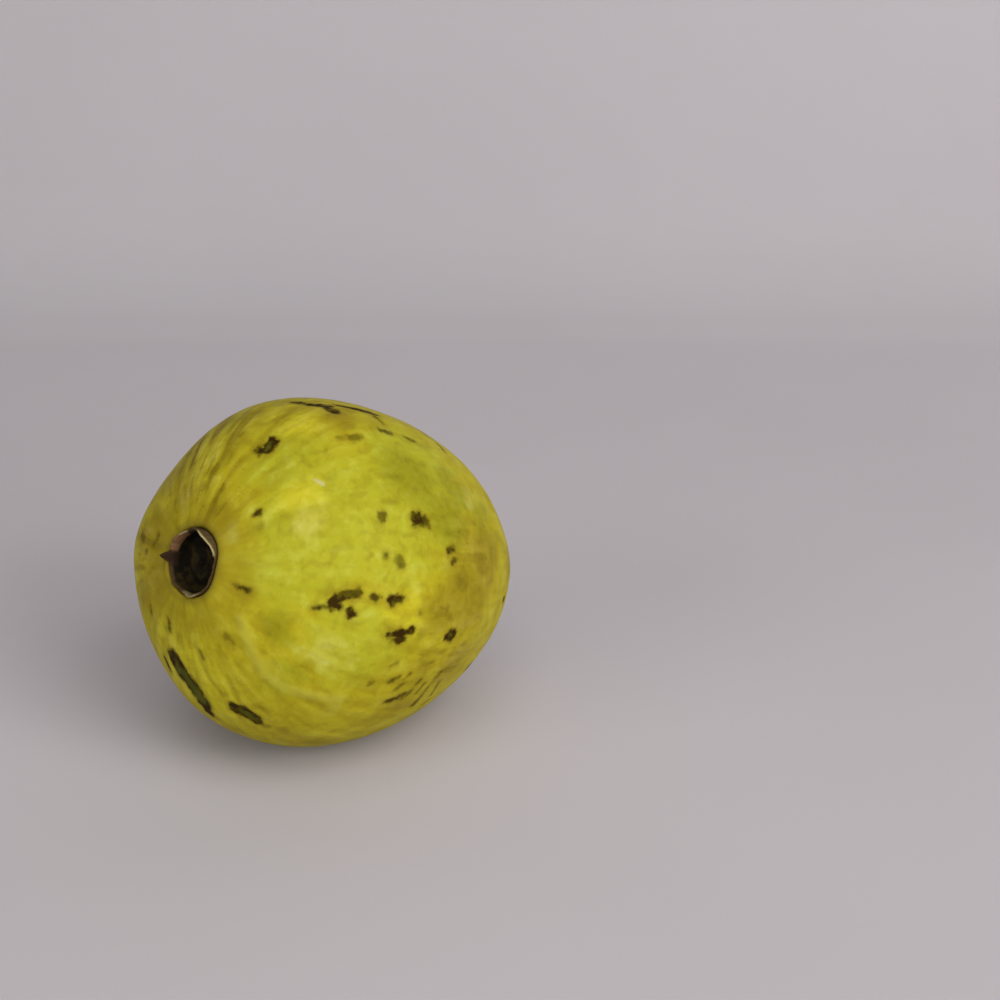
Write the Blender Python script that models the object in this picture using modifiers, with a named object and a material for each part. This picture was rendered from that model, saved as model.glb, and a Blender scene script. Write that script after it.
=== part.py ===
"""A ripe guava lying on its side, with its calyx end raised and turned towards -X.

Metres, +Z up, the floor at Z = 0 and the origin under the middle of the object's box.
Each piece is modelled on the fruit's own axis, local +Z, running out of the calyx end, and laid down by
the empty that carries it. Round that axis, 0 degrees is the side that lies uppermost and 90 is +Y.
"""

import math
import random

import bmesh
import bpy
from mathutils import Vector

# The lying fruit
AXIS_TILT = 21.0
AXIS_HEIGHT = 0.0329

# The body of the fruit
BODY_RADIUS = 0.035
HALF_LENGTH = 0.0406
CALYX_END_FULLNESS = 0.138
SHOULDER_FULLNESS = 0.042
NOSE_FULLNESS = -0.014
BODY_SEGMENTS = 72
OUTSIDE_RINGS = 25

# Gentle swellings and flats: angle from the calyx end, angle round the axis, height, spread
SWELLINGS = (
    (76.0, 0.0, -0.0007, 24.0),
    (46.0, 52.0, -0.0013, 22.0),
    (32.0, 88.0, 0.0009, 13.0),
    (41.0, 135.0, -0.0006, 22.0),
    (56.0, 169.0, 0.0003, 24.0),
    (88.0, 180.0, 0.0009, 24.0),
    (114.0, 236.0, -0.0005, 24.0),
    (114.0, 326.0, 0.0004, 24.0),
    (41.0, 236.0, 0.0004, 12.0),
    (36.0, 202.0, -0.0004, 12.0),
    (73.0, 316.0, -0.0004, 14.0),
    (52.0, 292.0, 0.0003, 15.0),
    (92.0, 268.0, 0.0003, 15.0),
    (70.0, 238.0, -0.0003, 13.0),
    (60.0, 340.0, 0.0003, 13.0),
    (96.0, 95.0, -0.0005, 22.0),
    (72.0, 118.0, 0.0004, 15.0),
    (78.0, 60.0, 0.0004, 16.0),
    (110.0, 30.0, -0.0004, 15.0),
    (120.0, 130.0, 0.0006, 20.0),
    (135.0, 20.0, -0.0006, 22.0),
    (136.0, 290.0, 0.0005, 20.0),
)
# The mouth keeps its round shape inside the first angle and swells fully from the second
MOUTH_KEEPS_TO = 13.0
MOUTH_FREE_FROM = 24.0

# The hollow that holds the calyx
BORE_RADIUS = 0.0065
BORE_DEPTH = 0.0045
BORE_CORNER = 0.00045
LIP_RADIUS = 0.0006
LIP_STEPS = 3
NECK_HEIGHT = 0.0003
NECK_WIDTH = 0.003

# The dimple of the stalk and its creases: angle round the axis, depth, half width, reach from the dimple
DIMPLE_DEPTH = 0.0046
DIMPLE_WIDTH = 0.0068
DIMPLE_RINGS = 7
CREASES = (
    (200.0, 0.0013, 11.0, 30.0),
    (262.0, 0.0006, 9.0, 18.0),
    (318.0, 0.0010, 10.0, 24.0),
    (24.0, 0.0005, 9.0, 16.0),
    (82.0, 0.0011, 12.0, 27.0),
    (143.0, 0.0005, 8.0, 15.0),
)
CREASE_INNER_RADIUS = 0.0034
CREASE_FULL_SHARE = 0.35

# The dry end of the stalk
STUB_RADIUS = 0.0019
STUB_SOCKET_DEPTH = 0.0022
STUB_SOCKET_EDGE = 0.0002
STUB_LENGTH = 0.0046
STUB_SEGMENTS = 24

# The dried calyx
CALYX_WALL = 0.0007
CALYX_SEGMENTS = 60
CALYX_FLOOR = 0.0009
CALYX_CORNER = 0.0004
CALYX_FOOT_CHAMFER = 0.0005
DISC_RADIUS = 0.0036
DISC_EDGE = 0.0009
DISC_HEIGHT = 0.0008
DISC_RING_RADIUS = 0.0026
DISC_RING_HEIGHT = 0.0003
DISC_RING_WIDTH = 0.0005
DISC_RINGS = (0.0, 0.0005, 0.001, 0.0017, 0.0022, 0.0026, 0.003, 0.0036, 0.0041, 0.0046)
STYLE_RADIUS = 0.0006
STYLE_HEIGHT = 0.0006
SEPAL_BASE = -0.0006
SEPAL_LEAST_HEIGHT = 0.0007
SEPAL_RAGGEDNESS = 0.00008
SEPAL_RISES = (0.0, 0.2, 0.4, 0.6, 0.8, 0.95)
SEPAL_POINT = 0.75
SEPAL_CURL = 1.7
# Angle round the axis, half width, height over the base, lean outwards
SEPALS = (
    (95.0, 15.0, 0.0024, 0.0013),
    (60.0, 46.0, 0.0015, 0.0002),
    (357.0, 15.0, 0.0028, 0.0005),
    (322.0, 48.0, 0.0027, 0.0002),
    (194.0, 36.0, 0.0013, 0.0003),
    (142.0, 26.0, 0.001, 0.0),
)

# Colours and roughness of the finishes
SKIN = ((0.47, 0.42, 0.05), 0.5)
DRIED = ((0.12, 0.075, 0.035), 0.8)
BARK = ((0.16, 0.11, 0.055), 0.85)

# Between touching pieces
GAP = 0.0003
MERGE = 0.00005
SHARP_ANGLE = 50.0
FLOOR_CUTTER_SIZE = 0.12
SEED = 11


def clear_scene():
    """An empty scene, whatever the file held."""
    for obj in list(bpy.data.objects):
        bpy.data.objects.remove(obj, do_unlink=True)


def new_collection(name):
    """A collection of its own under the scene."""
    made = bpy.data.collections.new(name)
    bpy.context.scene.collection.children.link(made)
    return made


def new_material(name, colour, roughness):
    """A plain finish: base colour and roughness, not metallic."""
    made = bpy.data.materials.new(name)
    made.use_nodes = True
    shader = made.node_tree.nodes["Principled BSDF"]
    shader.inputs["Base Color"].default_value = (*colour, 1.0)
    shader.inputs["Roughness"].default_value = roughness
    shader.inputs["Metallic"].default_value = 0.0
    made.diffuse_color = (*colour, 1.0)
    return made


def smooth_step(low, high, value):
    """0 below low, 1 above high, and a smooth rise between them."""
    share = min(1.0, max(0.0, (value - low) / (high - low)))
    return share * share * (3.0 - 2.0 * share)


def bell(offset, width):
    """1 at the middle, fading to nothing past twice the width."""
    return math.exp(-((offset / width) ** 2))


def angle_between(first, second):
    """The turn from one angle round the axis to another, from -180 to 180 degrees."""
    return (first - second + 180.0) % 360.0 - 180.0


def girth(turn):
    """Radius of the plain body at an angle in radians from the calyx end."""
    fullness = 1.0 + CALYX_END_FULLNESS * math.cos(turn)
    fullness += SHOULDER_FULLNESS * math.cos(2.0 * turn)
    fullness += NOSE_FULLNESS * math.cos(3.0 * turn)
    return BODY_RADIUS * math.sin(turn) * fullness


def body_point(turn):
    """Radius and height of the body's outside at an angle in radians from the calyx end."""
    radius = girth(turn)
    height = HALF_LENGTH * math.cos(turn)
    if turn < math.pi / 2.0:
        height += NECK_HEIGHT * bell(radius - BORE_RADIUS, NECK_WIDTH)
    else:
        height += DIMPLE_DEPTH * bell(radius, DIMPLE_WIDTH)
    return radius, height


def turn_at_girth(radius, near_stalk):
    """The angle in radians where the plain body has this radius, near either end, by halving."""
    low, high = (math.pi, math.pi / 2.0) if near_stalk else (0.0, math.pi / 2.0)
    for _ in range(40):
        middle = (low + high) / 2.0
        if girth(middle) < radius:
            low = middle
        else:
            high = middle
    return (low + high) / 2.0


def turned_mesh(name, profile, segments):
    """A closed mesh turned about local Z from (radius, height) points that run down its outer side."""
    line = bpy.data.meshes.new(name)
    edges = [(i, i + 1) for i in range(len(profile) - 1)]
    line.from_pydata([(radius, 0.0, height) for radius, height in profile], edges, [])
    guide = bpy.data.objects.new(name, line)
    bpy.context.scene.collection.objects.link(guide)
    screw = guide.modifiers.new("turn", "SCREW")
    screw.axis = "Z"
    screw.angle = 2.0 * math.pi
    screw.steps = segments
    screw.render_steps = segments
    screw.use_merge_vertices = True
    screw.merge_threshold = MERGE
    evaluated = guide.evaluated_get(bpy.context.evaluated_depsgraph_get())
    mesh = bpy.data.meshes.new_from_object(evaluated)
    mesh.name = name
    bpy.data.objects.remove(guide)
    bpy.data.meshes.remove(line)
    welded = bmesh.new()
    welded.from_mesh(mesh)
    bmesh.ops.remove_doubles(welded, verts=welded.verts, dist=MERGE)
    welded.to_mesh(mesh)
    welded.free()
    return mesh


def place(name, mesh, material, collection, carrier):
    """The finished piece as an object on the fruit's axis, shaded smooth."""
    mesh.materials.append(material)
    mesh.shade_smooth()
    mesh.set_sharp_from_angle(angle=math.radians(SHARP_ANGLE))
    piece = bpy.data.objects.new(name, mesh)
    collection.objects.link(piece)
    piece.parent = carrier
    return piece


def lip_height():
    """Height of the lip's top over the fruit's middle."""
    return body_point(turn_at_girth(BORE_RADIUS + LIP_RADIUS, False))[1]


def lip_arc():
    """The rounded edge between the bore and the outside, from the bore outwards."""
    centre_radius = BORE_RADIUS + LIP_RADIUS
    centre_height = lip_height() - LIP_RADIUS
    points = []
    for step in range(LIP_STEPS + 1):
        bend = math.pi * (1.0 - 0.5 * step / LIP_STEPS)
        radius = centre_radius + LIP_RADIUS * math.cos(bend)
        points.append((radius, centre_height + LIP_RADIUS * math.sin(bend)))
    return points


def outside_rings(first, last, rings):
    """Points of the body's outside from one angle to another, both included."""
    return [body_point(first + (last - first) * ring / rings) for ring in range(rings + 1)]


def socket_top():
    """Radius and height of the skin where the stalk's socket starts."""
    return body_point(turn_at_girth(STUB_RADIUS + GAP + STUB_SOCKET_EDGE, True))


def fruit_profile():
    """Floor and wall of the hollow, the lip, the outside, the dimple and the stalk's socket."""
    floor = lip_height() - BORE_DEPTH
    points = [(0.0, floor)]
    points += [(BORE_RADIUS * share, floor) for share in (0.35, 0.7)]
    points += [(BORE_RADIUS - BORE_CORNER, floor), (BORE_RADIUS, floor + BORE_CORNER)]
    points += [(BORE_RADIUS, floor + BORE_DEPTH * share) for share in (0.4, 0.7)]
    points += lip_arc()
    shoulder = turn_at_girth(BORE_RADIUS + 2.0 * LIP_RADIUS, False)
    dimple = turn_at_girth(2.0 * DIMPLE_WIDTH, True)
    socket = turn_at_girth(STUB_RADIUS + GAP + STUB_SOCKET_EDGE, True)
    points += outside_rings(shoulder, dimple, OUTSIDE_RINGS)
    points += outside_rings(dimple, socket, DIMPLE_RINGS)[1:]
    skin_height = socket_top()[1]
    bottom = skin_height + STUB_SOCKET_DEPTH
    points += [(STUB_RADIUS + GAP, skin_height + STUB_SOCKET_EDGE)]
    points += [(STUB_RADIUS + GAP, bottom), (0.0, bottom)]
    return points


def swelling_at(turn, around):
    """How far the skin stands out at an angle from the calyx end and an angle round the axis, in degrees."""
    t = math.radians(turn)
    a = math.radians(around)
    here = Vector((math.sin(t) * math.cos(a), math.sin(t) * math.sin(a), math.cos(t)))
    height = 0.0
    for swelling_turn, swelling_around, amount, spread in SWELLINGS:
        t = math.radians(swelling_turn)
        a = math.radians(swelling_around)
        there = Vector((math.sin(t) * math.cos(a), math.sin(t) * math.sin(a), math.cos(t)))
        height += amount * bell(math.degrees(here.angle(there)), spread)
    return height * smooth_step(MOUTH_KEEPS_TO, MOUTH_FREE_FROM, turn)


def crease_at(turn, around, radius):
    """How deep the folds of the dimple are there."""
    depth = 0.0
    for crease_around, amount, half_width, reach in CREASES:
        along = 1.0 - smooth_step(CREASE_FULL_SHARE * reach, reach, 180.0 - turn)
        depth += amount * along * bell(angle_between(around, crease_around), half_width)
    return depth * smooth_step(CREASE_INNER_RADIUS, 2.0 * CREASE_INNER_RADIUS, radius)


def shape_fruit(mesh):
    """Gives the turned body its swellings and the dimple its folds."""
    for vertex in mesh.vertices:
        radius = math.hypot(vertex.co.x, vertex.co.y)
        turn = math.degrees(math.atan2(radius / BODY_RADIUS, vertex.co.z / HALF_LENGTH))
        around = math.degrees(math.atan2(vertex.co.y, vertex.co.x)) % 360.0
        rise = swelling_at(turn, around)
        if turn > 90.0:
            rise *= smooth_step(STUB_RADIUS + 2.0 * GAP, CREASE_INNER_RADIUS, radius)
            rise -= crease_at(turn, around, radius)
        vertex.co += vertex.co.normalized() * rise


def disc_height(radius):
    """Relief of the dried disc: a low table, the ring where the stamens stood and the scar of the style."""
    table = DISC_HEIGHT * (1.0 - smooth_step(DISC_RADIUS - DISC_EDGE, DISC_RADIUS + DISC_EDGE, radius))
    ring = DISC_RING_HEIGHT * bell(radius - DISC_RING_RADIUS, DISC_RING_WIDTH)
    return table + ring + STYLE_HEIGHT * bell(radius, STYLE_RADIUS)


def calyx_profile():
    """The disc from its middle, up the inside of the wall, over the rim and down the outside."""
    outer = BORE_RADIUS - GAP
    inner = outer - CALYX_WALL
    bottom = lip_height() - BORE_DEPTH + GAP
    floor = bottom + CALYX_FLOOR
    base = lip_height() + SEPAL_BASE
    points = [(radius, floor + disc_height(radius)) for radius in DISC_RINGS]
    points += [(inner - CALYX_CORNER, floor), (inner, floor + CALYX_CORNER)]
    points += [(inner, (floor + base) / 2.0)]
    points += [(inner, base + SEPAL_LEAST_HEIGHT * rise) for rise in SEPAL_RISES]
    points += [((inner + outer) / 2.0, base + SEPAL_LEAST_HEIGHT)]
    points += [(outer, base + SEPAL_LEAST_HEIGHT * rise) for rise in reversed(SEPAL_RISES)]
    points += [(outer, bottom + CALYX_FOOT_CHAMFER), (outer - CALYX_FOOT_CHAMFER, bottom)]
    points += [(0.0, bottom)]
    return points


def sepal_at(around):
    """Height of the rim over its base and its lean outwards, at an angle round the axis."""
    height = SEPAL_LEAST_HEIGHT
    lean = 0.0
    weight = 0.0
    for middle, half_width, sepal_height, sepal_lean in SEPALS:
        share = 1.0 - abs(angle_between(around, middle)) / half_width
        if share > 0.0:
            height = max(height, sepal_height * share**SEPAL_POINT)
            lean += sepal_lean * share
            weight += share
    return height, lean / max(1.0, weight)


def shape_calyx(mesh):
    """Draws the rim out into low sepals, each with its own height and lean."""
    base = lip_height() + SEPAL_BASE
    ragged = random.Random(SEED)
    raggedness = [ragged.uniform(-1.0, 1.0) * SEPAL_RAGGEDNESS for _ in range(CALYX_SEGMENTS)]
    for vertex in mesh.vertices:
        rise = (vertex.co.z - base) / SEPAL_LEAST_HEIGHT
        radius = math.hypot(vertex.co.x, vertex.co.y)
        if rise <= 0.0 or radius < BORE_RADIUS / 2.0:
            continue
        around = math.degrees(math.atan2(vertex.co.y, vertex.co.x)) % 360.0
        height, lean = sepal_at(around)
        height += raggedness[round(around * CALYX_SEGMENTS / 360.0) % CALYX_SEGMENTS]
        stretched = (radius + lean * rise**SEPAL_CURL) / radius
        vertex.co.x *= stretched
        vertex.co.y *= stretched
        vertex.co.z = base + rise * height


def stub_profile():
    """A short stalk end, a little wider at its dry tip, from the middle of the tip in."""
    skin_height = socket_top()[1]
    top = skin_height + STUB_SOCKET_DEPTH - GAP
    tip = top - STUB_LENGTH
    return [
        (0.0, top),
        (STUB_RADIUS, top),
        (STUB_RADIUS, skin_height),
        (STUB_RADIUS * 0.92, top - STUB_LENGTH * 0.66),
        (STUB_RADIUS * 0.98, tip + 0.0006),
        (STUB_RADIUS * 0.85, tip + 0.0001),
        (STUB_RADIUS * 0.45, tip + 0.0003),
        (0.0, tip + 0.0006),
    ]


def box_of(pieces):
    """Lowest and highest corner of the evaluated pieces, in world space."""
    bpy.context.view_layer.update()
    graph = bpy.context.evaluated_depsgraph_get()
    corners = []
    for piece in pieces:
        shown = piece.evaluated_get(graph)
        corners += [shown.matrix_world @ vertex.co for vertex in shown.data.vertices]
    low = Vector(tuple(min(c[k] for c in corners) for k in range(3)))
    high = Vector(tuple(max(c[k] for c in corners) for k in range(3)))
    return low, high


clear_scene()
guava = new_collection("guava")
cutters = new_collection("cutters")

skin = new_material("fruit_skin", *SKIN)
dried = new_material("dried_calyx", *DRIED)
bark = new_material("stalk_bark", *BARK)

carrier = bpy.data.objects.new("guava_axis", None)
guava.objects.link(carrier)
carrier.location = (0.0, 0.0, AXIS_HEIGHT)
carrier.rotation_euler = (0.0, math.radians(AXIS_TILT - 90.0), 0.0)

fruit_mesh = turned_mesh("fruit", fruit_profile(), BODY_SEGMENTS)
shape_fruit(fruit_mesh)
fruit = place("fruit", fruit_mesh, skin, guava, carrier)

calyx_mesh = turned_mesh("calyx", calyx_profile(), CALYX_SEGMENTS)
shape_calyx(calyx_mesh)
calyx = place("calyx", calyx_mesh, dried, guava, carrier)

stub_mesh = turned_mesh("stem_stub", stub_profile(), STUB_SEGMENTS)
stem_stub = place("stem_stub", stub_mesh, bark, guava, carrier)

# The flat spot that the fruit rests on, pressed into its underside at floor height
bpy.ops.mesh.primitive_cube_add(size=FLOOR_CUTTER_SIZE, location=(0.0, 0.0, -FLOOR_CUTTER_SIZE / 2.0))
floor_cutter = bpy.context.object
floor_cutter.name = "floor_cutter"
for holder in list(floor_cutter.users_collection):
    holder.objects.unlink(floor_cutter)
cutters.objects.link(floor_cutter)
floor_cutter.hide_render = True
floor_cutter.display_type = "WIRE"
flat = fruit.modifiers.new("rest_spot", "BOOLEAN")
flat.operation = "DIFFERENCE"
flat.solver = "EXACT"
flat.object = floor_cutter

# The origin goes under the middle of the whole object's box
low_corner, high_corner = box_of((fruit, calyx, stem_stub))
carrier.location.x -= (low_corner.x + high_corner.x) / 2.0
carrier.location.y -= (low_corner.y + high_corner.y) / 2.0
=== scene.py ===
"""A ripe guava lying on its side on a pale floor: its skin, its dried calyx and the dry end of its stalk.

Metres, +Z up, the floor at Z = 0. Each piece is shaped on the fruit's own axis, local +Z, running out of
the calyx end, and is then laid down. Places on the skin are angles in degrees: turn, from the calyx end
towards the stalk, and around, round the axis from the side that lies uppermost, with 90 at +Y.
"""

import math
import random

import bmesh
import bpy
import numpy as np
from mathutils import Matrix, Vector, noise


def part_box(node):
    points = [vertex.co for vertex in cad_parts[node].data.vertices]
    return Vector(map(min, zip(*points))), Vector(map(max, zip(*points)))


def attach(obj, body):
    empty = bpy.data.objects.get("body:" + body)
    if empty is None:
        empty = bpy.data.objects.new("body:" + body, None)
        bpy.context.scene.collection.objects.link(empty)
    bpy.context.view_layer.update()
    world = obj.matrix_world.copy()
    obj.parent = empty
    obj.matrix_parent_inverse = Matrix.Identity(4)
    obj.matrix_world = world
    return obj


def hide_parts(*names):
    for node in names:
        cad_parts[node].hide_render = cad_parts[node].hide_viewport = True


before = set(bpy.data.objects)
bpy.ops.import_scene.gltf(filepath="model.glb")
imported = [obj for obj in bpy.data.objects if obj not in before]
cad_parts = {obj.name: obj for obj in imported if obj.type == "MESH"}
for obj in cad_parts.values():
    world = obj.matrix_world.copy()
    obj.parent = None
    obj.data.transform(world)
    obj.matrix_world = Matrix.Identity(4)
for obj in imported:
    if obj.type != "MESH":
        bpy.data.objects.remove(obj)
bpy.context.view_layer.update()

# The fruit
# One fleshy berry with a thin waxy skin that swelled unevenly as it grew. It lies on its side on the small
# flat that its weight presses, the calyx in a shallow well at the raised end and the stalk in a dimple.

AXIS_TILT = 21.0
AXIS_HEIGHT = 0.0329
MM = 0.001

BODY_RADIUS = 0.035
HALF_LENGTH = 0.0406
CALYX_END_FULLNESS = 0.138
SHOULDER_FULLNESS = 0.042
NOSE_FULLNESS = -0.014
BODY_SEGMENTS = 400
OUTSIDE_RINGS = 200
RING_EASE = 0.4

# Turn, around, spread in degrees, height
SWELLINGS = (
    (76.0, 0.0, 24.0, -0.0007),
    (46.0, 52.0, 22.0, -0.0013),
    (32.0, 88.0, 13.0, 0.0009),
    (41.0, 135.0, 22.0, -0.0006),
    (56.0, 169.0, 24.0, 0.0003),
    (88.0, 180.0, 24.0, 0.0009),
    (114.0, 236.0, 24.0, -0.0005),
    (114.0, 326.0, 24.0, 0.0004),
    (41.0, 236.0, 12.0, 0.0004),
    (36.0, 202.0, 12.0, -0.0004),
    (73.0, 316.0, 14.0, -0.0004),
    (52.0, 292.0, 15.0, 0.0003),
    (92.0, 268.0, 15.0, 0.0003),
    (70.0, 238.0, 13.0, -0.0003),
    (60.0, 340.0, 13.0, 0.0003),
    (96.0, 95.0, 22.0, -0.0005),
    (72.0, 118.0, 15.0, 0.0004),
    (78.0, 60.0, 16.0, 0.0004),
    (110.0, 30.0, 15.0, -0.0004),
    (120.0, 130.0, 20.0, 0.0006),
    (135.0, 20.0, 22.0, -0.0006),
    (136.0, 290.0, 20.0, 0.0005),
)
MOUTH_KEEPS_TO = 13.0
MOUTH_FREE_FROM = 24.0

BORE_RADIUS = 0.0065
BORE_DEPTH = 0.0045
BORE_CORNER = 0.00045
LIP_RADIUS = 0.0006
LIP_STEPS = 8
NECK_HEIGHT = 0.0003
NECK_WIDTH = 0.003
CALYX_GAP = 0.00006
WELL_FLOOR_RINGS = (0.0, 0.35, 0.7)
WELL_WALL_RINGS = (0.3, 0.5, 0.7)
# One side of the mouth is pressed in: angle round the axis, half width and how far, then the radius up to
# which it is full and the radius where it ends
MOUTH_DENT = (268.0, 36.0, 0.001)
DENT_FULL_TO = 0.0072
DENT_ENDS = 0.013

DIMPLE_DEPTH = 0.0046
DIMPLE_WIDTH = 0.0068
DIMPLE_RINGS = 24
# Angle round the axis, depth, half width, reach from the stalk's end in degrees
CREASES = (
    (200.0, 0.0013, 11.0, 30.0),
    (262.0, 0.0006, 9.0, 18.0),
    (318.0, 0.0010, 10.0, 24.0),
    (24.0, 0.0005, 9.0, 16.0),
    (82.0, 0.0011, 12.0, 27.0),
    (143.0, 0.0005, 8.0, 15.0),
)
CREASE_INNER_RADIUS = 0.0034
CREASE_FULL_SHARE = 0.35
STUB_RADIUS = 0.0019
STUB_SOCKET_DEPTH = 0.0022
STUB_SOCKET_EDGE = 0.0002
GAP = 0.0003

# Fine relief: how high it is in mm, how many times it repeats round the axis, and how many along a radian
LUMPS = (0.16, 1.3, 1.3)
RIPPLES = (0.06, 3.4, 2.8)
RIBS = (0.02, 9.0, 3.0)
MOUTH_WRINKLES = (0.1, 4.0, 1.6)
WRINKLES_FULL_TO = 10.0
WRINKLES_END = 30.0
RELIEF_BEGINS = BORE_RADIUS + 0.0002
RELIEF_FULL = BORE_RADIUS + 0.0018
MOUTH_TINT_FROM = 10.0
MOUTH_TINT_TO = 48.0
# Painted shade round the lip where the skin meets the calyx: its width, and its strength over the mouth's
# tint
LIP_FRINGE = 0.0014
LIP_PAINTED_SHADE = 0.4
RELIEF_SINK = 0.05
MARK_SINK = 0.07
MARK_SINK_EDGE = (-0.2, 0.4)
FAR_FROM_MARKS = -5.0
RAGGED_SHARE = 1.5
MOST_RAGGED = 0.8
# Low ridges and grooves: the places they run through, half width in mm, height in mm
RIDGES = (
    (((23.0, 238.0), (31.0, 228.0), (38.0, 224.0), (45.0, 226.0), (52.0, 230.0), (58.0, 233.0)), 1.5, 0.2),
    (((24.0, 187.0), (29.0, 188.0), (35.0, 190.0), (41.0, 194.0)), 0.7, -0.14),
)

# Dark marks: from a place (turn, around) to a place, half width in mm, depth of colour
MARKS = (
    (41.1, 348.2, 39.0, 347.4, 1.4, 1.0),
    (38.8, 347.8, 37.6, 349.2, 1.2, 0.9),
    (25.0, 318.0, 25.5, 317.5, 0.6, 0.8),
    (24.5, 308.5, 24.5, 309.0, 0.5, 0.35),
    (29.0, 85.0, 27.0, 89.0, 0.7, 0.5),
    (19.0, 78.0, 20.0, 88.0, 0.4, 0.6),
    (23.0, 94.5, 23.5, 94.5, 0.35, 0.6),
    (60.0, 3.0, 60.8, 357.0, 0.8, 0.9),
    (60.8, 357.0, 63.5, 351.5, 1.0, 1.0),
    (62.5, 349.2, 61.8, 346.1, 1.15, 1.0),
    (67.2, 351.9, 70.1, 348.6, 0.8, 0.95),
    (70.1, 348.6, 75.7, 344.2, 0.95, 0.9),
    (73.6, 341.3, 72.6, 336.6, 0.45, 0.6),
    (58.0, 331.0, 59.5, 331.0, 0.85, 0.55),
    (55.0, 332.5, 57.0, 331.0, 0.4, 0.45),
    (69.0, 332.5, 71.5, 331.5, 0.55, 0.7),
    (76.0, 330.0, 79.5, 328.5, 0.4, 0.7),
    (96.0, 332.5, 96.0, 329.5, 0.5, 0.6),
    (56.0, 300.0, 56.0, 299.0, 0.75, 0.65),
    (66.1, 298.4, 67.8, 297.8, 1.35, 1.0),
    (64.4, 296.1, 69.4, 295.9, 0.5, 0.8),
    (58.0, 304.5, 60.5, 304.0, 0.35, 0.3),
    (76.5, 289.0, 78.5, 289.0, 0.6, 0.9),
    (77.5, 285.5, 79.5, 285.5, 0.55, 0.75),
    (56.0, 286.5, 56.0, 286.0, 0.42, 0.7),
    (59.5, 285.0, 60.0, 283.5, 0.8, 0.6),
    (43.6, 267.4, 45.2, 270.0, 0.95, 0.9),
    (45.4, 270.7, 49.2, 272.6, 0.82, 0.9),
    (44.3, 266.3, 45.4, 266.9, 0.8, 0.9),
    (39.3, 263.4, 42.8, 265.8, 0.4, 0.8),
    (48.4, 265.4, 49.4, 264.9, 0.75, 0.95),
    (53.7, 272.1, 54.3, 272.2, 0.85, 0.75),
    (58.6, 271.8, 60.6, 272.5, 0.98, 0.95),
    (60.4, 260.4, 63.6, 261.9, 0.85, 0.95),
    (63.6, 261.9, 66.4, 263.0, 0.65, 0.9),
    (62.0, 259.2, 64.5, 259.3, 0.75, 0.85),
    (69.5, 261.5, 70.0, 262.5, 0.8, 0.3),
    (67.5, 269.0, 67.5, 269.5, 0.38, 0.6),
    (77.0, 270.5, 77.5, 270.5, 0.5, 0.35),
    (79.5, 267.5, 80.0, 267.5, 0.7, 0.3),
    (81.3, 262.0, 83.2, 262.1, 1.3, 1.0),
    (67.3, 243.9, 69.8, 246.4, 0.45, 0.65),
    (71.7, 241.0, 72.6, 243.7, 0.4, 0.55),
    (76.6, 238.0, 78.4, 241.2, 0.5, 0.6),
    (81.6, 240.0, 81.7, 244.0, 0.4, 0.6),
    (92.1, 236.3, 89.8, 243.1, 0.45, 0.55),
    (72.0, 245.8, 72.8, 248.2, 0.35, 0.6),
    (78.0, 242.9, 78.7, 245.5, 0.4, 0.6),
    (64.8, 250.0, 66.1, 251.4, 0.35, 0.5),
    (72.4, 236.2, 76.3, 238.5, 0.7, 0.75),
    (85.4, 233.1, 85.2, 240.9, 0.5, 0.6),
    (85.2, 240.9, 86.6, 248.4, 0.45, 0.6),
    (93.0, 231.0, 94.5, 233.0, 0.5, 0.5),
    (62.5, 242.0, 62.5, 242.5, 0.5, 0.6),
    (63.0, 253.0, 63.5, 253.0, 0.4, 0.3),
    (17.5, 259.0, 21.0, 260.5, 0.45, 0.8),
    (24.0, 219.5, 27.5, 221.5, 0.5, 0.5),
    (26.5, 190.5, 28.5, 191.5, 0.28, 0.6),
    (21.5, 156.0, 24.0, 160.0, 0.4, 0.75),
    (26.5, 133.0, 28.0, 136.0, 0.35, 0.6),
    (33.2, 165.0, 37.4, 171.9, 2.1, 1.0),
    (37.4, 171.9, 41.4, 177.6, 2.1, 1.0),
    (41.4, 177.6, 46.0, 178.8, 1.8, 1.0),
    (46.0, 178.8, 50.0, 179.3, 1.1, 1.0),
    (38.0, 155.0, 40.5, 159.0, 0.6, 0.8),
    (45.8, 196.8, 47.2, 200.2, 1.6, 0.9),
    (47.2, 200.2, 50.6, 201.6, 1.5, 1.0),
    (53.5, 203.0, 54.0, 203.0, 0.7, 0.4),
)
# Green under the dark marks: the same, without the depth
GREEN_SCARS = (
    (36.5, 171.0, 40.0, 176.0, 1.2),
    (40.0, 176.0, 45.0, 178.3, 1.1),
    (40.2, 348.0, 38.6, 347.6, 0.5),
    (47.0, 199.5, 49.6, 201.2, 0.5),
)
# Broad patches of one tint on the skin: turn, around, spread in degrees, strength
BRIGHT_PATCHES = (
    (38.0, 184.0, 16.0, 1.0),
    (29.0, 156.0, 8.0, 0.6),
    (37.0, 313.0, 8.0, 0.6),
    (63.0, 268.0, 7.0, 0.9),
    (50.0, 347.0, 7.0, 0.8),
    (66.0, 214.0, 10.0, 0.5),
    (20.0, 300.0, 7.0, 0.5),
)
LIME_PATCHES = (
    (36.0, 290.0, 20.0, 1.0),
    (57.0, 300.0, 22.0, 1.0),
    (40.0, 335.0, 14.0, 0.8),
    (52.0, 255.0, 16.0, 0.9),
    (74.0, 318.0, 18.0, 1.0),
    (42.0, 228.0, 9.0, 0.7),
)
GREEN_PATCHES = (
    (69.0, 312.0, 12.0, 0.85),
    (78.0, 300.0, 12.0, 0.9),
    (86.0, 310.0, 10.0, 0.9),
    (33.0, 247.0, 7.0, 0.7),
    (44.0, 236.0, 6.0, 0.6),
    (97.0, 302.0, 12.0, 0.7),
    (50.0, 20.0, 8.0, 0.5),
)
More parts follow.
